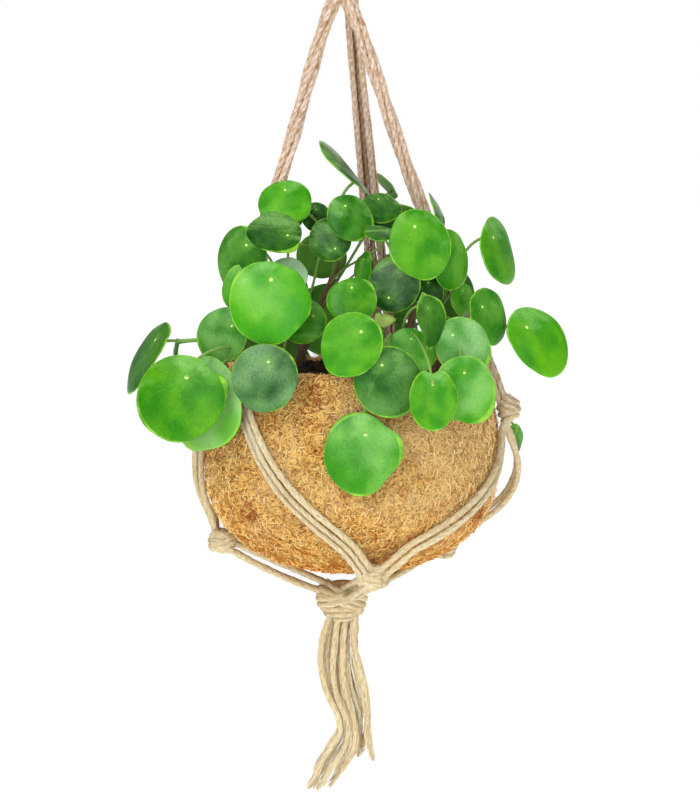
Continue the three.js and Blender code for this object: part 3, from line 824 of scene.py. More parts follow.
# Legs: where each starts at the top knot and how far beside the lower knot it ends, its bow to the
# right, how far its top end is pinched in over the first share of its half, and where tufts stand
PINCH_SHARE = 0.28
LEGS = {
    "leg_left": {"to": "knot_left", "start": vector(-1.4, -2, 0), "aside": 0.0, "bow": 2.4,
                 "pinch": 4.0, "tufts": (0.19, 0.31)},
    "leg_right": {"to": "knot_right", "start": vector(1.8, -2, 0), "aside": -1.6, "bow": -4.5,
                  "pinch": -3.2},
    "leg_back_a": {"to": "knot_back", "start": vector(4.0, 5.5, 0), "aside": -5.0, "turn": 0.5},
    "leg_back_b": {"to": "knot_back", "start": vector(7.4, 5, 0), "aside": 3.4, "turn": -0.2},
}
# Strands round the bowl: from and to which knot, how many degrees round the bowl, how late that
# comes, how far the turn dips, how far the two strands spread and how far they hang off the wall
NET = {
    "net_front_left": ("knot_left", "knot_low_front", 75, 0.54, 0.19, 0.4, 0),
    "net_left": ("knot_left", "knot_low_left", -23, 0.5, 0, 0.3, 1.4),
    "net_front_right": ("knot_right", "knot_low_front", -75, 1.7, 0, 0.4, 0),
    "net_right": ("knot_right", "knot_low_back", 41, 1.2, 0, 0.4, 14),
    "net_back_right": ("knot_back", "knot_low_back", -32, 0.8, 0, 0.3, 0),
    "net_back_left": ("knot_back", "knot_low_left", 107, 1.1, 0, 1, 1.5),
}
NET_KNOT_SHARE = 0.16
NET_SIGHT = 0.02
NET_GAP = 0.25
# Where one strand hangs further out than its neighbour, and the flat strand that looks double
APART = {"net_left": 1.6}
DOUBLE = "net_front_left_b"
DOUBLE_PLACES = [(0, 2.3), (0, -0.8)]
DOUBLE_RADIUS = R * 0.84
# Tails: how far above the straight line each runs, and how far it sags
TAIL_SAG = {"upper": (2.4, 0.0), "lower": (-2.4, 2.8)}
TAIL_GATHER_RISE = 3.5
TUFT_SPAN = 0.012
TUFT_HAIRS = {"count": 26, "reach": (2.0, 4.2), "stand": 1.1, "radius": HAIR_RADIUS * 1.6}


def strands_beside(middle, outward, places, twist=None, start=0.0):
    """Paths that run beside a middle line. places are (outward, across) steps from it, which turn
    once round it in every twist of length."""
    along = unit(np.gradient(middle, axis=0))
    across = unit(np.cross(along, np.broadcast_to(outward, middle.shape)))
    lift = np.cross(across, along)
    run = np.linspace(0, length_of(middle), len(middle))
    turn = (start + 2 * np.pi * run / twist if twist else np.zeros(len(middle)))[:, None]
    paths = []
    for out, beside in places:
        side = out * np.cos(turn) - beside * np.sin(turn)
        other = out * np.sin(turn) + beside * np.cos(turn)
        paths.append(middle + lift * side + across * other)
    return paths


def rope(name, paths, radius=R, tufts=()):
    """A piece of one or more strands, in place of the plain rope of that name."""
    form = Form()
    bundle = np.mean(paths, axis=0) if len(paths) > 1 else None
    for path in paths:
        strand = add_strand(form, path, radius, bundle=bundle)
        add_hairs(form, strand, int(length_of(strand) * HAIRS_PER_MM), surface=radius)
        for share in tufts:
            add_hairs(form, strand, span=(share - TUFT_SPAN, share + TUFT_SPAN), **TUFT_HAIRS)
    form.piece(f"{name}_twine", JUTE, "jute", [name])


# Places of the strands in a rope of four, and in one of two
NEAR = R * 0.88
BUNDLE = [(NEAR, NEAR), (NEAR, -NEAR), (-NEAR, NEAR), (-NEAR, -NEAR)]
PAIR_DEEP = [(R, 0), (-R, 0)]
TO_VIEWER = vector(0, -1, 0)
UPWARD = vector(0, 0, 1)


def make_loop():
    x, _, z = KNOTS["top_knot"]["centre"]
    half = [(LOOP_FOOT, z + 2), (LOOP_HALF_WIDTH, LOOP_SIDE_Z), (LOOP_HALF_WIDTH + 1, LOOP_BEND_Z)]
    points = [(x + out, 0, height) for out, height in half]
    points += [(0, 0, STRAND)]
    points += [(x - out, 0, height) for out, height in reversed(half)]
    paths = strands_beside(through(points, LOOP_POINTS), TO_VIEWER, BUNDLE, LOOP_TWIST)
    rope("hang_loop", paths)


def make_legs():
    top = KNOTS["top_knot"]["centre"]
    for name, leg in LEGS.items():
        foot = KNOTS[leg["to"]]["centre"] + vector(leg["aside"], 0, 0)
        half_way = (top + leg["start"] + foot) / 2 + vector(leg.get("bow", 0.0), 0, 0)
        begin = top + leg["start"]
        early = begin * (1 - PINCH_SHARE) + half_way * PINCH_SHARE
        begin = begin + vector(leg.get("pinch", 0.0), 0, 0)
        middle = through([begin, early, half_way, foot], LEG_POINTS)
        if "turn" in leg:
            paths = strands_beside(middle, TO_VIEWER, PAIR_DEEP, LEG_TWO_TWIST, leg["turn"])
        else:
            paths = strands_beside(middle, TO_VIEWER, BUNDLE, LEG_TWIST)
        rope(name, paths, tufts=leg.get("tufts", ()))


def from_axis(path):
    """Level directions from the bowl's axis."""
    return (path - vector(BOWL_X, 0, 0)) * vector(1, 1, 0)


def net_route(run, side):
    high_name, low_name, turn, bend, dip, spread, slack = run
    high, low = KNOTS[high_name], KNOTS[low_name]

    def middle(share):
        lift = 1 - smooth(np.minimum(share, 1 - share), 0, NET_KNOT_SHARE)
        knot_stand = np.where(share < 0.5, high["stand_off"], low["stand_off"])
        stand = NET_STAND * (1 - lift) + knot_stand * lift
        stand = stand + slack * np.sin(np.pi * share ** LOW_SLACK)
        z = high["z"] + (low["z"] - high["z"]) * share
        turned = share ** bend - dip * np.sin(np.pi * share)
        return on_bowl(high["azimuth"] + turn * turned, z, stand)

    share = np.linspace(0, 1, NET_POINTS)
    p = middle(share)
    along = middle(np.minimum(1, share + NET_SIGHT)) - middle(np.maximum(0, share - NET_SIGHT))
    across = unit(np.cross(along, from_axis(p)))
    return p + across * (side * (R + NET_GAP + spread * np.sin(np.pi * share)))[:, None]


def make_net():
    for name, run in NET.items():
        for letter, side in (("a", -1), ("b", 1)):
            path = net_route((*run[:-1], run[-1] + side * APART.get(name, 0.0)), side)
            if f"{name}_{letter}" == DOUBLE:
                paths = strands_beside(path, from_axis(path), DOUBLE_PLACES)
                rope(DOUBLE, paths, radius=DOUBLE_RADIUS)
            else:
                rope(f"{name}_{letter}", [path])


def make_tails():
    gather = KNOTS["gather_knot"]["centre"] + vector(0, 0, TAIL_GATHER_RISE)
    for side in ("left", "front", "back"):
        start = KNOTS[f"knot_low_{side}"]["centre"]
        for level, (shift, sag) in TAIL_SAG.items():
            points = []
            for share in (0, 0.3, 0.6, 1):
                drop = shift - sag * math.sin(math.pi * share)
                points.append(start + (gather - start) * share + vector(0, 0, drop))
            middle = through(points, TAIL_POINTS)
            rope(f"tail_{side}_{level}", strands_beside(middle, UPWARD, [(0, R), (0, -R)]))


# Knots: bands of strands that wrap round a filled middle. Each row of turns has how much a turn
# rises, the azimuth that it rises toward, the levels that it lies at from -1 to 1, and how deep.
KNOT_BARREL = 2.7
SIDE_WRAPS = [
    (0.22, 0, (-0.62, -0.22), R),
    (0.24, 180, (0.20, 0.60), R),
    (0.06, 120, (0.0,), R - 0.6),
]
LOW_WRAPS = [
    (0.30, 60, (-0.52, -0.10, 0.30), R),
    (0.34, 210, (-0.05, 0.35), R - 0.7),
    (0.06, 10, (0.70,), R),
]
WRAPS = {
    "gather_knot": [
        (0.05, 20, (-0.86, -0.58, -0.3), R * 0.9),
        (0.42, 190, (-0.12, 0.18, 0.48), R),
        (0.36, 10, (0.16, 0.46), R - 0.9),
    ],
    "top_knot": [
        (0.10, 90, (-0.78, -0.42, -0.05), R),
        (0.30, -90, (0.26, 0.60), R),
    ],
    "knot_left": SIDE_WRAPS,
    "knot_back": SIDE_WRAPS,
    "knot_right": SIDE_WRAPS,
    "knot_low_left": LOW_WRAPS,
    "knot_low_front": LOW_WRAPS,
    "knot_low_back": LOW_WRAPS,
}
WRAP_POINTS = 70
KNOT_HAIRS_PER_MM = HAIRS_PER_MM * 1.5
KNOT_HAIR_REACH = (2.0, 5.5)
CORE_RINGS = 11
CORE_SIDES = 14
CORE_SUNK = 2.4
CORE_END = 0.97
CORE_LAY = vector(0.5, 0.3, 0.3)


def knot_point(knot, azimuth, level, sink):
    """A knot's surface at an azimuth and a level from -1 to 1, sunk below the surface."""
    half = np.array(knot["half"], float)
    level = np.clip(level, -0.999, 0.999)
    wide = (1 - np.abs(level) ** KNOT_BARREL) ** (1 / KNOT_BARREL)
    wide = wide * (1 + knot.get("taper", 0.0) * level)
    x, y = (half[0] * wide - sink) * np.cos(azimuth), (half[1] * wide - sink) * np.sin(azimuth)
    c, s = math.cos(math.radians(knot["turn"])), math.sin(math.radians(knot["turn"]))
    up = level * (half[2] - 0.4 * sink)
    return side_by_side(x * c - y * s, x * s + y * c, up) + knot["centre"]


def wrap(knot, rise, toward, level, sink):
    """One turn of a strand round a knot: it rises toward an azimuth, about a level."""
    a = np.linspace(0, 2 * np.pi, WRAP_POINTS) + toward + np.pi
    return knot_point(knot, a, level + rise * np.cos(a - toward), sink)


def add_core(form, knot):
    """The filled middle of a knot, which shows only between its wraps, in full painted shade."""
    level, turn = np.meshgrid(np.linspace(-CORE_END, CORE_END, CORE_RINGS), ring_angles(CORE_SIDES),
                              indexing="ij")
    points = knot_point(knot, turn, level, CORE_SUNK).reshape(-1, 3)
    quads, triangles = tube_faces(1, CORE_RINGS, CORE_SIDES)
    form.add(points, quads, triangles, lay=points * CORE_LAY,
             strand=side_by_side(1.0, low_share(points), 0.0))


def make_knot(name, rows):
    knot = KNOTS[name]
    form = Form()
    add_core(form, knot)
    for rise, toward, levels, sink in rows:
        for level in levels:
            strand = add_strand(form, wrap(knot, rise, math.radians(toward), level, sink))
            count = int(length_of(strand) * KNOT_HAIRS_PER_MM)
            add_hairs(form, strand, count, KNOT_HAIR_REACH)
    form.piece(f"{name}_wraps", JUTE, "jute", [name])


make_loop()
make_legs()
make_net()
make_tails()
for name, rows in WRAPS.items():
    make_knot(name, rows)


# Leafy stems. root and top are the woody stem's ends. Each leaf: [seen x, seen z, nearness, half
# length, half width, turned, lifted, tip, bright, sheen]. The angles are in degrees. bright goes from
# an old dark leaf at 0 to a fresh one at 1 and a pale one at 2; each leaf's value was matched to how
# bright it looks, so it also holds painted shade on leaves in shadow and painted light on some others.
# sheen is how bluish the old green is, and how much painted sheen the leaf has.
STEMS = {
    "stem_middle": {
        "root": (-26, -4), "top": (2, -10, -186),
        "leaves": [
            [-34, -159, 31, 15.5, 16.5, -5, 25, 0, 0.72, 0.1],
            [-40, -176, 47, 17, 18, 5, 50, -115, 0.12, 0.0],
            [-15, -168, 6, 9, 9, 10, 10, 0, 0.10, 0.2],
            [-7, -181, 38, 13.5, 13, -10, 15, -150, 0.12, 0.1],
            [5, -168, 42, 15, 13.5, 5, 20, 20, 0.36, 0.3],
            [23, -177, 51, 9.5, 9, 15, 62, -80, 0.26, 0.1],
            [3, -138, 0, 21.5, 16, 78, 43, 180, 0.08, 0.0],
            [24, -161.5, 20, 13, 12, 5, 48, 15, 0.22, 0.1],
            [25, -172, 2, 10, 10, 10, 15, 0, 0.15, 0.3],
            [12, -198, 34, 10, 9, -55, 10, 0, 0.58, 0.2],
        ],
    },
    "stem_right": {
        "root": (40, -14), "top": (58, -28, -217),
        "leaves": [
            [47, -184, 62, 22, 19, 10, 15, 15, 0.62, 0.1],
            [66, -193, 35, 18.5, 15.5, 45, 5, 0, 0.62, 0.2],
            [58, -164, 22, 12, 9, 76, 22, 180, 0.20, 0.2],
            [95.5, -188, 10, 21.5, 20, 60, 12, 40, 0.58, 0.0],
            [52, -212, 40, 10, 9.5, 10, 10, 0, 0.00, 0.0],
            [73, -217, 26, 10, 9, 40, 5, 0, 0.95, 0.4],
        ],
    },
    "stem_right_low": {
        "root": (54, -16), "top": (68, -24, -244),
        "leaves": [
            [119, -242, 30, 24, 18.5, 30, 15, 40, 0.72, 0.0],
            [73, -244, 72, 17.5, 17.5, 15, 15, 45, 0.66, 1.1],
            [74, -271, 88, 21, 19.5, 15, 5, 0, 0.80, 0.7],
            [89.5, -227, 40, 17.5, 18, 50, 13, 45, 0.50, 0.2],
        ],
    },
    "stem_front_right": {
        "root": (28, -34), "top": (36, -46, -240),
        "leaves": [
            [55, -277, 106, 18.5, 15, 10, 5, 0, 0.65, 0.1],
            [28, -266, 97, 21.5, 21, 5, 8, 20, 0.22, 0.4],
            [42, -247, 70, 15.5, 15.5, 5, 30, 0, 0.88, 0.7],
            [53, -230, 80, 16, 14, 52, 5, 0, 0.28, 0.1],
            [25, -229, 46, 4.8, 5.8, 20, 25, 0, 2.00, 0.3],
        ],
    },
    "stem_front": {
        "root": (-4, -32), "top": (0, -44, -234),
        "leaves": [
            [5, -244, 100, 20.5, 18.6, -5, 5, -40, 0.66, 0.1],
            [6, -217, 78, 15, 15, 0, 20, 0, 0.52, 0.1],
            [-23, -230, 55, 14, 13.5, -15, 10, -60, 0.55, 0.3],
            [12, -310, 98, 25, 23.5, -8, 3, -10, 0.66, 0.6],
            [31, -208, 50, 17, 16, -10, 5, 160, 0.00, 0.4],
        ],
    },
    "stem_left": {
        "root": (-42, -8), "top": (-42, -40, -224),
        "leaves": [
            [-61.5, -193, 38, 20, 20, -40, 5, -32, 0.32, 0.2],
            [-59, -211, 42, 15, 13.5, -10, 5, 0, 0.78, 0.6],
            [-43, -218, 75, 26.5, 25.5, -10, 15, 0, 0.84, 0.3],
            [-47, -264, 88, 21, 21, -12, 8, -15, 0.12, 0.8],
            [-32, -203, 42, 13, 12, 0, 25, 0, 2.00, 3.2],
        ],
    },
    "stem_left_low": {
        "root": (-46, -30), "top": (-52, -48, -246),
        "leaves": [
            [-118.7, -250.5, 40, 24.5, 20.5, -68, 28, -20, 0.28, 0.0],
            [-97, -276, 78, 26.5, 28, -12, 10, -15, 0.54, 0.0],
            [-82, -279, 60, 28.5, 26, -40, 5, -5, 1.12, 1.4],
            [-72, -238, 50, 17, 16.5, -25, 5, -50, 0.54, 0.7],
            [-100, -246, 22, 6, 5, -75, 10, 0, 0.50, 0.0],
        ],
    },
    "stem_back_left": {
        "root": (-24, 34), "top": (-32, 42, -212),
        "leaves": [
            [-36, -168, -40, 16, 15, -150, 25, 0, 0.60, 0.1],
            [-58, -193, -32, 17, 16, -120, 10, 0, 0.70, 0.0],
            [-40, -215, -66, 22, 21, -155, 15, 0, 0.45, 0.5],
            [-62, -240, -62, 20, 19, -130, 5, 0, 0.80, 0.1],
            [-36, -262, -94, 22, 21, -160, 5, 0, 0.20, 0.3],
            [-72, -268, -74, 18, 17, -135, 5, 0, 0.36, 0.6],
            [-12, -190, -58, 16, 15, 180, 30, 0, 1.10, 0.2],
        ],
    },
    "stem_back_middle": {
        "root": (2, 46), "top": (0, 56, -236),
        "leaves": [
            [-8, -228, -86, 23, 22, 175, 12, 0, 0.82, 0.1],
            [26, -246, -102, 22, 21, 165, 5, 0, 0.50, 0.4],
            [-4, -285, -106, 22, 21, 180, 0, 0, 0.72, 0.2],
        ],
    },
    "stem_back_right": {
        "root": (38, 32), "top": (46, 38, -214),
        "leaves": [
            [40, -174, -34, 16, 15, 150, 25, 0, 0.55, 0.2],
            [27.5, -148.5, -60, 10, 9, 110, 40, 180, 0.20, 0.2],
            [56, -190, -50, 19, 18, 150, 15, 0, 0.70, 0.1],
            [36, -208, -84, 21, 20, 165, 15, 0, 0.85, 0.0],
            [68, -214, -56, 18, 17, 135, 5, 0, 0.36, 0.5],
            [74, -240, -62, 18, 17, 125, 5, 0, 0.62, 0.3],
            [84, -264, -50, 17, 16, 115, 5, 0, 0.78, 0.0],
            [50, -262, -88, 20, 19, 150, 5, 0, 0.45, 0.5],
            [106, -300, -24, 9, 9, 60, 5, 0, 0.55, 0.2],
        ],
    },
}
# Leaves that aren't round: at each angle, in degrees from the tip to the leaf's own right, how much
# further out the edge is, and over how wide an angle
CORNERS = {
    ("stem_middle", 0): [(0, -0.12, 50), (180, -0.09, 40), (60, 0.05, 20)],
    ("stem_middle", 1): [(150, 0.10, 24), (60, -0.10, 28)],
    ("stem_middle", 4): [(48, 0.14, 20), (150, -0.04, 25)],
    ("stem_right", 0): [(0, -0.02, 26), (-120, -0.03, 26)],
    ("stem_right", 1): [(45, 0.05, 25)],
    ("stem_right_low", 0): [(90, 0.04, 25), (-60, -0.03, 30)],
    ("stem_right_low", 1): [(10, 0.08, 28), (-120, 0.03, 30)],
    ("stem_right_low", 2): [(52, 0.15, 28), (-8, -0.09, 22), (92, 0.05, 20)],
    ("stem_front_right", 0): [(178, -0.17, 13), (150, 0.05, 18), (-150, 0.05, 18)],
    ("stem_front_right", 1): [(-150, -0.05, 28), (40, 0.03, 25)],
    ("stem_front_right", 2): [(135, -0.14, 26)],
    ("stem_front_right", 3): [(-166, 0.16, 13), (105, 0.12, 30), (-62, -0.14, 34), (0, 0.06, 14)],
    ("stem_front_right", 4): [(82, 0.30, 13), (-140, 0.14, 18), (150, -0.10, 20), (10, -0.08, 20)],
    ("stem_front", 0): [(-45, -0.07, 38), (150, 0.03, 26)],
    ("stem_front", 1): [(-160, -0.11, 30), (135, 0.06, 16), (60, 0.03, 20)],
    ("stem_front", 3): [(63, -0.10, 26), (115, 0.09, 22), (150, -0.09, 20), (-149, 0.05, 24)],
    ("stem_left", 2): [(50, -0.07, 24), (157, -0.13, 22), (122, -0.05, 18), (-150, 0.03, 22)],
    ("stem_left", 3): [(8, -0.07, 38)],
    ("stem_left_low", 1): [(45, -0.09, 26), (128, 0.08, 15), (149, -0.09, 13), (-35, 0.06, 24)],
    ("stem_left_low", 2): [(-28, 0.12, 26)],
    ("stem_left_low", 3): [(8, 0.10, 34)],
}
# How sharply some leaves are folded along their middle
FOLDS = {("stem_front_right", 0): 0.16, ("stem_front_right", 3): 0.22, ("stem_front_right", 4): 0.35,
         ("stem_middle", 5): 0.16, ("stem_front_right", 2): 0.08}
leaf_draw = np.random.default_rng(21)
LEAF_SECTORS = 44
LEAF_RINGS = 13
RING_CROWDING = 0.9
UNDER_RINGS = 5
EDGE_SHARE = 0.985
EDGE_ROUND = 0.8
DIMPLE = 0.25
DIMPLE_RADIUS = 2.4
EDGE_CURL = 0.45
EDGE_CURL_FROM = 0.82
# Small waves of every blade: three and seven round the seat
THREE_WAVES, SEVEN_WAVES = 0.35, 0.2
FOLD_STEEPNESS, FOLD_SINKS = 1.2, 0.25
# Every leaf's little tip, and how uneven its edge is: waves round it, and how far they reach
EDGE_TIP, EDGE_TIP_WIDTH = 0.018, 0.12
EDGE_WAVES = ((2, 0.012), (3, 0.016), (4, 0.010), (5, 0.007), (7, 0.004))


def soil_top(x, y):
    out = np.minimum(1, np.hypot(x - BOWL_X, y) / (BOWL_RADIUS - 2 * BOWL_WALL))
    return SOIL_EDGE_Z + SOIL_MOUND * (1 - out * out)


def turned_about(v, axis, angle):
    return v * math.cos(angle) + np.cross(axis, v) * math.sin(angle)


class Leaf:
    """A leaf's place and directions, from one row of the table."""

    def __init__(self, row):
        x, z, near, length, width, turned, lifted, tip, self.bright, self.sheen = row
        scale = (EYE_DISTANCE - near) / EYE_DISTANCE
        up = (z - EYE_TARGET[2]) * scale + near * math.sin(EYE_RAISED)
        self.centre = vector(EYE_TARGET[0] + (x - EYE_TARGET[0]) * scale, -near,
                             EYE_TARGET[2] + up / math.cos(EYE_RAISED))
        turn, lift = math.radians(turned), math.radians(lifted)
        self.face = vector(math.sin(turn) * math.cos(lift), -math.cos(turn) * math.cos(lift),
                           math.sin(lift))
        down = unit(vector(0, 0, -1) - self.face * (vector(0, 0, -1) @ self.face))
        self.tip = turned_about(down, self.face, math.radians(tip))
        self.side = np.cross(self.face, self.tip)
        self.length, self.width = length * scale, width * scale
        self.seed = leaf_draw.uniform()

    def point(self, along, across):
        along, across = np.asarray(along, float), np.asarray(across, float)
        out = along ** 2 + across ** 2
        radius = (self.length + self.width) / 2
        wave = BLADE_WAVE * out * np.sin(2 * np.arctan2(across, along) + self.length)
        lift = radius * (wave - BLADE_DOME * out)
        return (self.centre + self.tip * (along * self.length)[..., None]
                + self.side * (across * self.width)[..., None] + self.face * lift[..., None])


def edge_shape(corners, angle):
    """How far out the edge is at each angle from the tip, for an even leaf 1."""
    shape = 1 + EDGE_TIP * np.exp(-(np.sin(angle / 2) / EDGE_TIP_WIDTH) ** 2)
    for order, size in EDGE_WAVES:
        phase = leaf_draw.uniform(0, 2 * np.pi)
        shape = shape + size * leaf_draw.normal() * np.cos(order * angle + phase)
    for degrees, amount, width in corners:
        off = (np.degrees(angle) - degrees + 180) % 360 - 180
        shape = shape + amount * np.exp(-(off / width) ** 2)
    return shape


def add_blade(form, leaf, corners, fold):
    """A blade as rings round the stalk's seat, over the upper face, the rim and the lower face."""
    angle = ring_angles(LEAF_SECTORS)
    edge = edge_shape(corners, angle)
    rim_along, rim_across = edge * np.cos(angle), edge * np.sin(angle)
    upper = np.linspace(0, 1, LEAF_RINGS) ** RING_CROWDING
    lower = np.linspace(1, 0, UNDER_RINGS)
    share = np.concatenate([upper[:-1], [EDGE_SHARE, 1.0, EDGE_SHARE], lower[1:]])[:, None]
    half = BLADE_THICKNESS / 2
    above = np.concatenate([np.full(LEAF_RINGS - 1, half), [half * EDGE_ROUND, 0, -half * EDGE_ROUND],
                            np.full(UNDER_RINGS - 1, -half)]) - half
    along = -STALK_SEAT + (rim_along + STALK_SEAT) * share
    across = rim_across * share
    out = np.hypot(along, across)
    from_seat = np.hypot((along + STALK_SEAT) * leaf.length, across * leaf.width)
    around = np.arctan2(across, along + STALK_SEAT)
    wobble = (THREE_WAVES * out ** 2 * np.sin(3 * around + 2 * np.pi * leaf.seed)
              + SEVEN_WAVES * out ** 3 * np.sin(7 * around))
    lift = (above[:, None] - DIMPLE * np.exp(-(from_seat / DIMPLE_RADIUS) ** 2) + wobble
            - EDGE_CURL * smooth(out, EDGE_CURL_FROM, 1.0))
    lift = lift + fold * leaf.width * np.abs(across) * FOLD_STEEPNESS - fold * leaf.width * FOLD_SINKS
    points = leaf.point(along, across) + leaf.face * lift[..., None]
    under = (np.arange(len(share)) > LEAF_RINGS)[:, None]
    # How high each point is on its leaf, from -1 to 1, which places the painted sheen and highlight
    rise = points[..., 2] - points[0, 0, 2]
    blade = side_by_side(along, across, under)
    upward = (rise / np.abs(rise).max())[..., None] * vector(1, 0, 0)
    quads, _ = tube_faces(1, len(share), LEAF_SECTORS)
    form.add(points.reshape(-1, 3), quads, blade=blade.reshape(-1, 3),
             tone=vector(leaf.bright, leaf.sheen, leaf.seed), upward=upward.reshape(-1, 3))


# Woody stems and stalks: their radii at the foot, and how much they thin upward
TRUNK_POINTS = 60
TRUNK_SIDES = 12
TRUNK_FOOT = 2.75
TRUNK_THINS = 0.95
STALK_POINTS = 22
STALK_SIDES = 9
STALK_RADIUS = 1.35
STALK_THINS = 0.45
STALK_SEAT_WIDENS = 0.25
STALK_OUTWARD = 0.6
# How steeply a stalk rises at its foot, and how much it comes from behind the blade and from above
HANGING_STALK = (1, 0.5, 0.86)
UPRIGHT_STALK = (0.8, 0.9, 0.3)
# A leaf of this half length or more has a stalk of full thickness
FULL_STALK_LEAF = 45
LEAST_STALK = 0.55
STALK_FOOT_WOOD = 0.35
# The share of the woody stem that stands above its highest stalk
TOP_BARE = 0.03


def trunk_path(stem):
    x, y = stem["root"]
    foot = vector(x, y, soil_top(x, y) - TRUNK_DEPTH)
    collar = vector(x, y, soil_top(x, y) + 1)
    end = np.array(stem["top"], float)
    return through([foot, collar, (collar + end) / 2 + vector(0, 0, 1), end], TRUNK_POINTS)


def stalk_path(leaf, start):
    """A stalk's curve from the woody stem to the blade's seat, which it meets from behind. Stalks of
    leaves that hang over the rim rise first and come down from above."""
    seat = leaf.point(-STALK_SEAT, 0) - leaf.face * (BLADE_THICKNESS * 0.75)
    outward = unit((seat - start) * vector(1, 1, 0))
    rises, behind, above = HANGING_STALK if seat[2] < RIM_Z + OVER_RIM else UPRIGHT_STALK
    rise = unit(outward * STALK_OUTWARD + vector(0, 0, rises))
    approach = unit(leaf.face * -behind + vector(0, 0, above))
    reach = STALK_REACH * np.linalg.norm(seat - start)
    a, b = start + rise * reach, seat + approach * reach
    t = np.linspace(0, 1, STALK_POINTS)[:, None]
    return (1 - t) ** 3 * start + 3 * (1 - t) ** 2 * t * a + 3 * (1 - t) * t * t * b + t ** 3 * seat


def add_stem(form, path, radius, tone, sides):
    _, across = turning_frame(path)
    reach = radius[:, None] * np.ones(sides)
    tubes(form, path[None], across[None], reach[None], tone=tone[None, :, None, :])


def trunk_girth(up):
    """The woody stem's radius along its height, with a ring where each old leaf was."""
    scars = 1 + 0.10 * np.sin(up * 75 + 3) ** 8 + 0.06 * np.sin(up * 31)
    return (TRUNK_FOOT - TRUNK_THINS * up) * scars


def add_stalk(form, leaf, start):
    path = stalk_path(leaf, start)
    t = np.linspace(0, 1, len(path))
    size = min(1.0, LEAST_STALK + leaf.length / FULL_STALK_LEAF)
    radius = (STALK_RADIUS - STALK_THINS * smooth(t, 0, 0.25)
              + STALK_SEAT_WIDENS * smooth(t, 0.93, 1)) * size
    wood = STALK_FOOT_WOOD * (1 - smooth(t, 0.0, 0.12))
    add_stem(form, path, radius, side_by_side(t, wood, leaf.seed), STALK_SIDES)


def make_stem(name, stem):
    blades, woody = Form(), Form()
    trunk = trunk_path(stem)
    up = np.linspace(0, 1, len(trunk))
    wood = 1 - smooth(up, 0.82, 1.0) * 0.85
    add_stem(woody, trunk, trunk_girth(up), side_by_side(up, wood, draw.uniform()), TRUNK_SIDES)
    count = len(stem["leaves"])
    for i, row in enumerate(stem["leaves"]):
        leaf = Leaf(row)
        level = 1 - CROWN * i / count - TOP_BARE
        add_stalk(woody, leaf, trunk[int(level * (len(trunk) - 1))])
        add_blade(blades, leaf, CORNERS.get((name, i), ()), FOLDS.get((name, i), 0.0))
    blades.piece(f"{name}_blades", LEAF, "plant", [name])
    woody.piece(f"{name}_stalks", STALK, "plant", [name])


for name, stem in STEMS.items():
    make_stem(name, stem)


# Coir bowl: a rough mat, the fibres that lie on it, and the ragged rim
WALL_SECTORS = 150
WALL_RINGS = 110
OUTLINE_STEPS = 90
LIP_STEPS = 16
INSIDE_STEPS = 20
INSIDE_BELOW_SOIL = 8
# How far the mat lies below the bowl's surface, and its lumps: how high and how long they are
MAT_SUNK = 0.9
MAT_BIG, MAT_BIG_SIZE = 0.75, 9.0
MAT_SMALL, MAT_SMALL_SIZE = 0.55, 2.6
LYING_FIBRES = 9200
LYING_SHARE = 0.93
SECOND_FIBRES = 6500
SECOND_LYING_SHARE = 0.72
FIBRE_RINGS = 4
FIBRE_LENGTH = (2.5, 8.5)
FIBRE_RADIUS = (0.17, 0.34)
FIBRE_TAPER = (0.75, 1.0, 0.95, 0.5)
FIBRE_CURL = 1.15
FIBRE_KINK = 0.7
FIBRE_ROOT = -0.3
FIBRE_STAND, FIBRE_STAND_VARIES = 0.25, 0.35
# Fibres start as far as this past the rim's top, along the wall
FIBRES_PAST_RIM = 6.0
# How far the last two rings of a loose fibre stand up
LOOSE_THIRD, LOOSE_LAST = (0.2, 1.0), (0.5, 2.4)
# Fibres get darker from the first depth to the second
DARK_BELOW = (330, 372)
RIM_FIBRES = 1700
RIM_FIBRE_LENGTH = (1.6, 5.2)
RIM_FIBRE_RADIUS = (0.12, 0.24)
RIM_FIBRE_TAPER = (1.0, 1.0, 0.85, 0.45)
RIM_BAND = (-5.0, 5.5)
RIM_LEANS, RIM_SIDEWAYS, RIM_BENDS = 0.75, 1.0, 0.7
RIM_CLUMPS = 0.22
# Rusty spots: azimuth in degrees, height and size
RUST_SPOTS = [(-106, -267, 8), (-107, -276, 6), (-135, -336, 7), (-26, -341, 7), (-62, -352, 5),
              (60, -300, 8), (140, -330, 7), (-160, -290, 5)]


def wall_outline():
    """The bowl's wall from the bottom's middle, up the outside, over the lip and down the inside:
    radius, height, and the outward direction."""
    low_lip = RIM_Z - BOWL_WALL / 2
    drop = np.cos(np.linspace(0, np.pi / 2, OUTLINE_STEPS)) ** (2 / BOWL_ROUNDNESS)
    outside = np.concatenate([BOWL_EQUATOR_Z - BOWL_DEPTH * drop,
                              np.linspace(BOWL_EQUATOR_Z, low_lip, OUTLINE_STEPS)[1:]])
    outer, inner = float(bowl_radius(low_lip)), float(bowl_radius(low_lip, BOWL_WALL))
    over = np.linspace(0, np.pi, LIP_STEPS)[1:]
    inside = np.linspace(low_lip, SOIL_EDGE_Z - INSIDE_BELOW_SOIL, INSIDE_STEPS)[1:]
    r = np.concatenate([bowl_radius(outside), (outer + inner) / 2 + (outer - inner) / 2 * np.cos(over),
                        bowl_radius(inside, BOWL_WALL)])
    r[0] = 0
    z = np.concatenate([outside, low_lip + BOWL_WALL / 2 * np.sin(over), inside])
    along = np.concatenate([[0], np.cumsum(np.hypot(np.diff(r), np.diff(z)))])
    rise = np.stack([np.gradient(r, along), np.gradient(z, along)], axis=1)
    rise /= np.linalg.norm(rise, axis=1, keepdims=True)
    return along, r, z, rise[:, 1], -rise[:, 0]


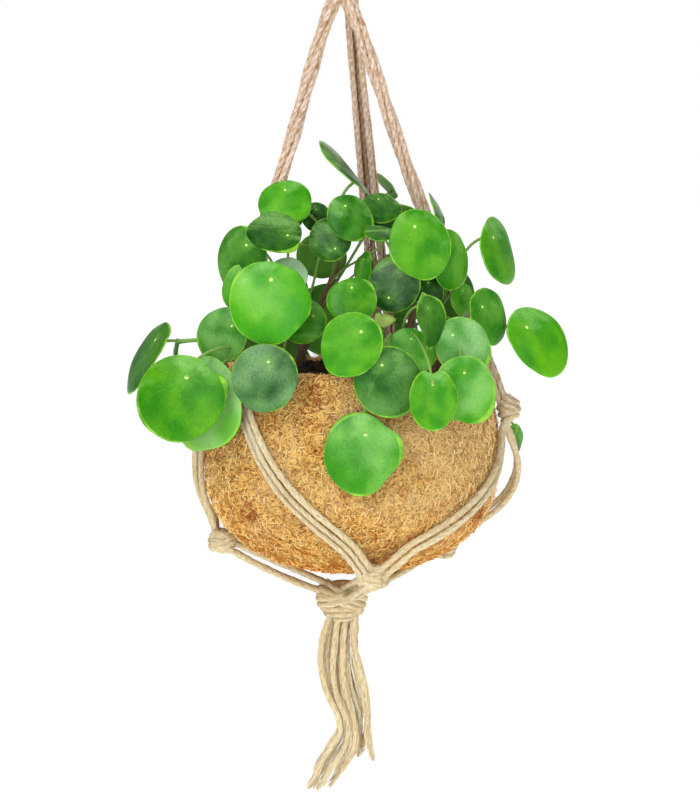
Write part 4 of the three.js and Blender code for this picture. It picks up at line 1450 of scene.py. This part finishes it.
WALL_ALONG, WALL_R, WALL_Z, WALL_OUT, WALL_UP = wall_outline()
RIM_ALONG = float(WALL_ALONG[np.argmax(WALL_Z)])


def wall_point(along, azimuth, stand):
    """Points of the wall at a length along its outline, an azimuth in radians, standing off it."""
    r, z, out, up = [np.interp(along, WALL_ALONG, values)
                     for values in (WALL_R, WALL_Z, WALL_OUT, WALL_UP)]
    radius = r + stand * out
    high = z + stand * up + smooth(z, SOIL_EDGE_Z - 3, RIM_Z) * rim_wave(azimuth)
    return side_by_side(BOWL_X + radius * np.cos(azimuth), radius * np.sin(azimuth), high)


def lumps(points, scale, depth=3):
    """Smooth noise from -1 to 1 at each point."""
    flat = points.reshape(-1, 3)
    values = [noise.fractal(Vector(p) / scale, 1.0, 2.0, depth) for p in flat]
    return np.array(values).reshape(points.shape[:-1])


def make_mat():
    along, azimuth = np.meshgrid(np.linspace(0, WALL_ALONG[-1], WALL_RINGS),
                                 ring_angles(WALL_SECTORS), indexing="ij")
    plain = wall_point(along, azimuth, 0.0)
    stand = (-MAT_SUNK + MAT_BIG * lumps(plain, MAT_BIG_SIZE)
             + MAT_SMALL * lumps(plain + 70, MAT_SMALL_SIZE, 2))
    points = wall_point(along, azimuth, stand)
    quads, _ = tube_faces(1, WALL_RINGS, WALL_SECTORS)
    form = Form()
    form.add(points.reshape(-1, 3), quads[:, ::-1])
    form.piece("coir_mat", COIR, "coir", ["coir_bowl"])


def rust_at(points):
    rust = np.zeros(len(points))
    for azimuth, z, size in RUST_SPOTS:
        off = np.linalg.norm(points - on_bowl(azimuth, float(z)), axis=1)
        rust = np.maximum(rust, np.exp(-(off / size) ** 2))
    return rust


def lay_fibres(form, along, azimuth, heading, length, stand, radius):
    """Fibres that wander over the wall from given places. stand is how far off the wall each is at
    its rings."""
    count = len(along)
    curl = draw.normal(0, FIBRE_CURL, count)
    kink = draw.normal(0, FIBRE_KINK, count)
    step = length / (FIBRE_RINGS - 1)
    paths = []
    for ring in range(FIBRE_RINGS):
        share = ring / (FIBRE_RINGS - 1)
        r = np.maximum(np.interp(along, WALL_ALONG, WALL_R), 4.0)
        paths.append(wall_point(along, azimuth, stand[:, ring]))
        turn = heading + curl * share + kink * math.sin(5 * share)
        along = np.clip(along + step * np.sin(turn), 0.5, WALL_ALONG[-1] - 0.5)
        azimuth = azimuth + step * np.cos(turn) / r
    paths = np.stack(paths, axis=1)
    outward = unit(paths[:, :1] - vector(BOWL_X, 0, BOWL_EQUATOR_Z))
    middle = paths[:, 2]
    rust = rust_at(middle)
    low = smooth(-middle[:, 2], *DARK_BELOW)
    shade = np.clip(draw.uniform(0, 1, count) ** 1.2 - 0.25 * low - 0.5 * rust, 0, 1)
    tubes(form, paths, outward, radius[:, None, None] * tapering(FIBRE_TAPER),
          tone=per_tube(shade, draw.uniform(0, 1, count), rust))


def make_fibres(name, count, lying):
    """Fibres all over the outside and the lip, of which a share lies flat. More places are drawn than
    are needed, and kept in the measure of how wide the bowl is there."""
    form = Form()
    places = 3 * count
    along = draw.uniform(0, 1, places) * (RIM_ALONG + FIBRES_PAST_RIM)
    wide = np.interp(along, WALL_ALONG, WALL_R) + 6
    along = along[draw.uniform(0, BOWL_RADIUS, places) < wide][:count]
    count = len(along)
    azimuth = draw.uniform(-np.pi, np.pi, count)
    loose = draw.uniform(0, 1, count) > lying
    stand = np.abs(draw.normal(FIBRE_STAND, FIBRE_STAND_VARIES, (count, FIBRE_RINGS)))
    stand[:, 0] = stand[:, -1] = FIBRE_ROOT
    stand[loose, 2] += draw.uniform(*LOOSE_THIRD, loose.sum())
    stand[loose, 3] += draw.uniform(*LOOSE_LAST, loose.sum())
    length = draw.uniform(*FIBRE_LENGTH, count)
    radius = draw.uniform(*FIBRE_RADIUS, count)
    lay_fibres(form, along, azimuth, draw.uniform(-np.pi, np.pi, count), length, stand, radius)
    form.piece(name, COIR_FIBRE, "coir", ["coir_bowl"])


def make_rim():
    """Ends of fibre that stand up ragged along the rim, in clumps."""
    count = RIM_FIBRES
    azimuth = draw.uniform(-np.pi, np.pi, count)
    clump = np.sin(azimuth * 11 + 1) + np.sin(azimuth * 23 + 2) + np.sin(azimuth * 5)
    along = RIM_ALONG + draw.uniform(*RIM_BAND, count)
    start = wall_point(along, azimuth, -0.5)
    away = side_by_side(np.cos(azimuth), np.sin(azimuth), 0.0)
    beside = np.cross(UPWARD, away)
    lean = draw.normal(0, RIM_LEANS, count)[:, None]
    side = draw.normal(0, RIM_SIDEWAYS, count)[:, None]
    length = (draw.uniform(*RIM_FIBRE_LENGTH, count) * (1 + RIM_CLUMPS * clump))[:, None]
    bend = draw.normal(0, RIM_BENDS, (count, 2))
    paths = []
    for t in np.linspace(0, 1, FIBRE_RINGS):
        way = away * (lean * t + bend[:, :1] * t * t) + beside * (side * t + bend[:, 1:] * t * t)
        paths.append(start + length * (way + UPWARD * (t - 0.45 * t * t)))
    radius = draw.uniform(*RIM_FIBRE_RADIUS, count)[:, None, None] * tapering(RIM_FIBRE_TAPER)
    tone = per_tube(draw.uniform(0, 0.8, count), draw.uniform(0, 1, count), rust_at(start))
    form = Form()
    tubes(form, np.stack(paths, axis=1), away[:, None], radius, tone=tone)
    form.piece("coir_rim", COIR_FIBRE, "coir", ["coir_bowl"])


# Soil: a low mound with crumbs
SOIL_INSET = BOWL_WALL + 0.6
SOIL_SECTORS = 96
SOIL_LOW_RINGS = 12
SOIL_TOP_RINGS = 44
SOIL_SHOULDER = 24
SOIL_BIG, SOIL_BIG_SIZE = 1.1, 7.0
SOIL_SMALL, SOIL_SMALL_SIZE = 0.8, 2.5
CRUMBS = 1200
LEAST_CRUMB, CRUMB_GROWS = 0.5, 1.3
CRUMB_SINKS = (-0.2, 0.6)
CRUMB_ROUGH = 0.28
CRUMB_STRETCH = (0.6, 1.2)
CRUMB_SHADES = 0.25
# The share of crumbs that are dark
DARK_CRUMBS = 0.94


def add_mound(form):
    """The soil inside the bowl, as rings from the bottom's middle to the top's, and its edge."""
    turn = np.linspace(0, np.pi / 2, SOIL_LOW_RINGS)
    low = BOWL_EQUATOR_Z - (BOWL_DEPTH - SOIL_INSET) * np.cos(turn) ** (2 / BOWL_ROUNDNESS)
    z = np.concatenate([low, [BOWL_EQUATOR_Z + SOIL_SHOULDER, SOIL_EDGE_Z]])
    below = len(z)
    r = bowl_radius(z, SOIL_INSET)
    r[0] = 0
    edge = r[-1]
    share = np.linspace(1, 0, SOIL_TOP_RINGS)[1:]
    r = np.concatenate([r, edge * share])
    z = np.concatenate([z, SOIL_EDGE_Z + SOIL_MOUND * (1 - share ** 2)])
    azimuth = ring_angles(SOIL_SECTORS)
    points = side_by_side(BOWL_X + np.outer(r, np.cos(azimuth)), np.outer(r, np.sin(azimuth)),
                          z[:, None])
    top = (np.arange(len(r)) >= below)[:, None]
    points[..., 2] += top * (SOIL_BIG * lumps(points, SOIL_BIG_SIZE)
                             + SOIL_SMALL * lumps(points + 40, SOIL_SMALL_SIZE, 2))
    quads, _ = tube_faces(1, len(r), SOIL_SECTORS)
    form.add(points.reshape(-1, 3), quads, tone=vector(0, 0, 0))
    return edge


def add_crumbs(form, edge):
    ball = bmesh.new()
    bmesh.ops.create_icosphere(ball, subdivisions=1, radius=1.0)
    corner = np.array([v.co[:] for v in ball.verts])
    faces = np.array([[v.index for v in f.verts] for f in ball.faces])
    ball.free()
    for _ in range(CRUMBS):
        out, way = math.sqrt(draw.uniform()) * (edge - 2), draw.uniform(0, 2 * np.pi)
        x, y = BOWL_X + out * math.cos(way), out * math.sin(way)
        size = LEAST_CRUMB + CRUMB_GROWS * draw.uniform() ** 3
        height = SOIL_EDGE_Z + SOIL_MOUND * (1 - (out / edge) ** 2)
        middle = vector(x, y, height + size * draw.uniform(*CRUMB_SINKS))
        shape = corner * (1 + CRUMB_ROUGH * draw.normal(size=(len(corner), 1)))
        shape = shape * draw.uniform(*CRUMB_STRETCH, 3)
        shade = 1.0 if draw.uniform() > DARK_CRUMBS else CRUMB_SHADES * draw.uniform()
        form.add(middle + shape * size, triangles=faces, tone=vector(shade, draw.uniform(), 0))


def make_soil():
    form = Form()
    add_crumbs(form, add_mound(form))
    form.piece("soil_crumbs", SOIL, "soil", ["potting_soil"])


make_mat()
make_fibres("coir_fibres_lying", LYING_FIBRES, LYING_SHARE)
make_fibres("coir_fibres_loose", SECOND_FIBRES, SECOND_LYING_SHARE)
make_rim()
make_soil()


# Stage: a pale floor well below, and soft light, in metres and watts
FLOOR_Z = -0.9
FLOOR_REACH = 30.0
FLOOR_GLOW = 0.70
FLOOR_COLOUR = (0.9, 0.9, 0.9, 1.0)
WHITE = (1.0, 1.0, 1.0, 1.0)
SURROUNDING_LIGHT = 0.40
LAMPS = {
    "key": {"place": (-0.75, -1.25, 0.75), "size": 0.8, "power": 13.5, "shine": 3.0},
    "front": {"place": (-0.3, -1.7, 0.0), "size": 1.3, "power": 9.0, "shine": 0.1},
    "fill": {"place": (1.1, -1.1, 0.1), "size": 1.1, "power": 6.0, "shine": 1.0},
    "above": {"place": (0.0, 0.15, 0.85), "size": 0.8, "power": 2.0, "shine": 1.0},
    "behind": {"place": (0.3, 1.3, 0.3), "size": 0.9, "power": 2.5, "shine": 1.0},
}


def make_floor():
    mesh = bpy.data.meshes.new("floor")
    corners = [(-1, -1), (1, -1), (1, 1), (-1, 1)]
    corners = [(x * FLOOR_REACH, y * FLOOR_REACH, FLOOR_Z) for x, y in corners]
    mesh.from_pydata(corners, [], [(0, 1, 2, 3)])
    finish = Finish("pale_floor")
    mesh.materials.append(finish.surface(FLOOR_COLOUR, 0.9, specular=0.1, glow=FLOOR_GLOW))
    placed("floor", mesh)


def make_surroundings():
    """White as seen, and dimmer as a light on the object."""
    world = bpy.data.worlds.new("studio")
    world.use_nodes = True
    tree = world.node_tree
    background = tree.nodes["Background"]
    background.inputs["Color"].default_value = WHITE
    seen_first = tree.nodes.new("ShaderNodeLightPath").outputs["Is Camera Ray"]
    strength = tree.nodes.new("ShaderNodeMapRange")
    strength.inputs["To Min"].default_value = SURROUNDING_LIGHT
    strength.inputs["To Max"].default_value = 1.0
    tree.links.new(seen_first, strength.inputs["Value"])
    tree.links.new(strength.outputs[0], background.inputs["Strength"])
    bpy.context.scene.world = world


def make_lamps():
    for name, lamp in LAMPS.items():
        data = bpy.data.lights.new(name, "AREA")
        data.shape = "SQUARE"
        data.size = lamp["size"]
        data.energy = lamp["power"]
        data.specular_factor = lamp["shine"]
        place = Vector(lamp["place"])
        point(placed(name, data), place, Vector(EYE_TARGET * MM) - place)


make_floor()
make_surroundings()
make_lamps()
bpy.context.scene.view_settings.view_transform = "Standard"
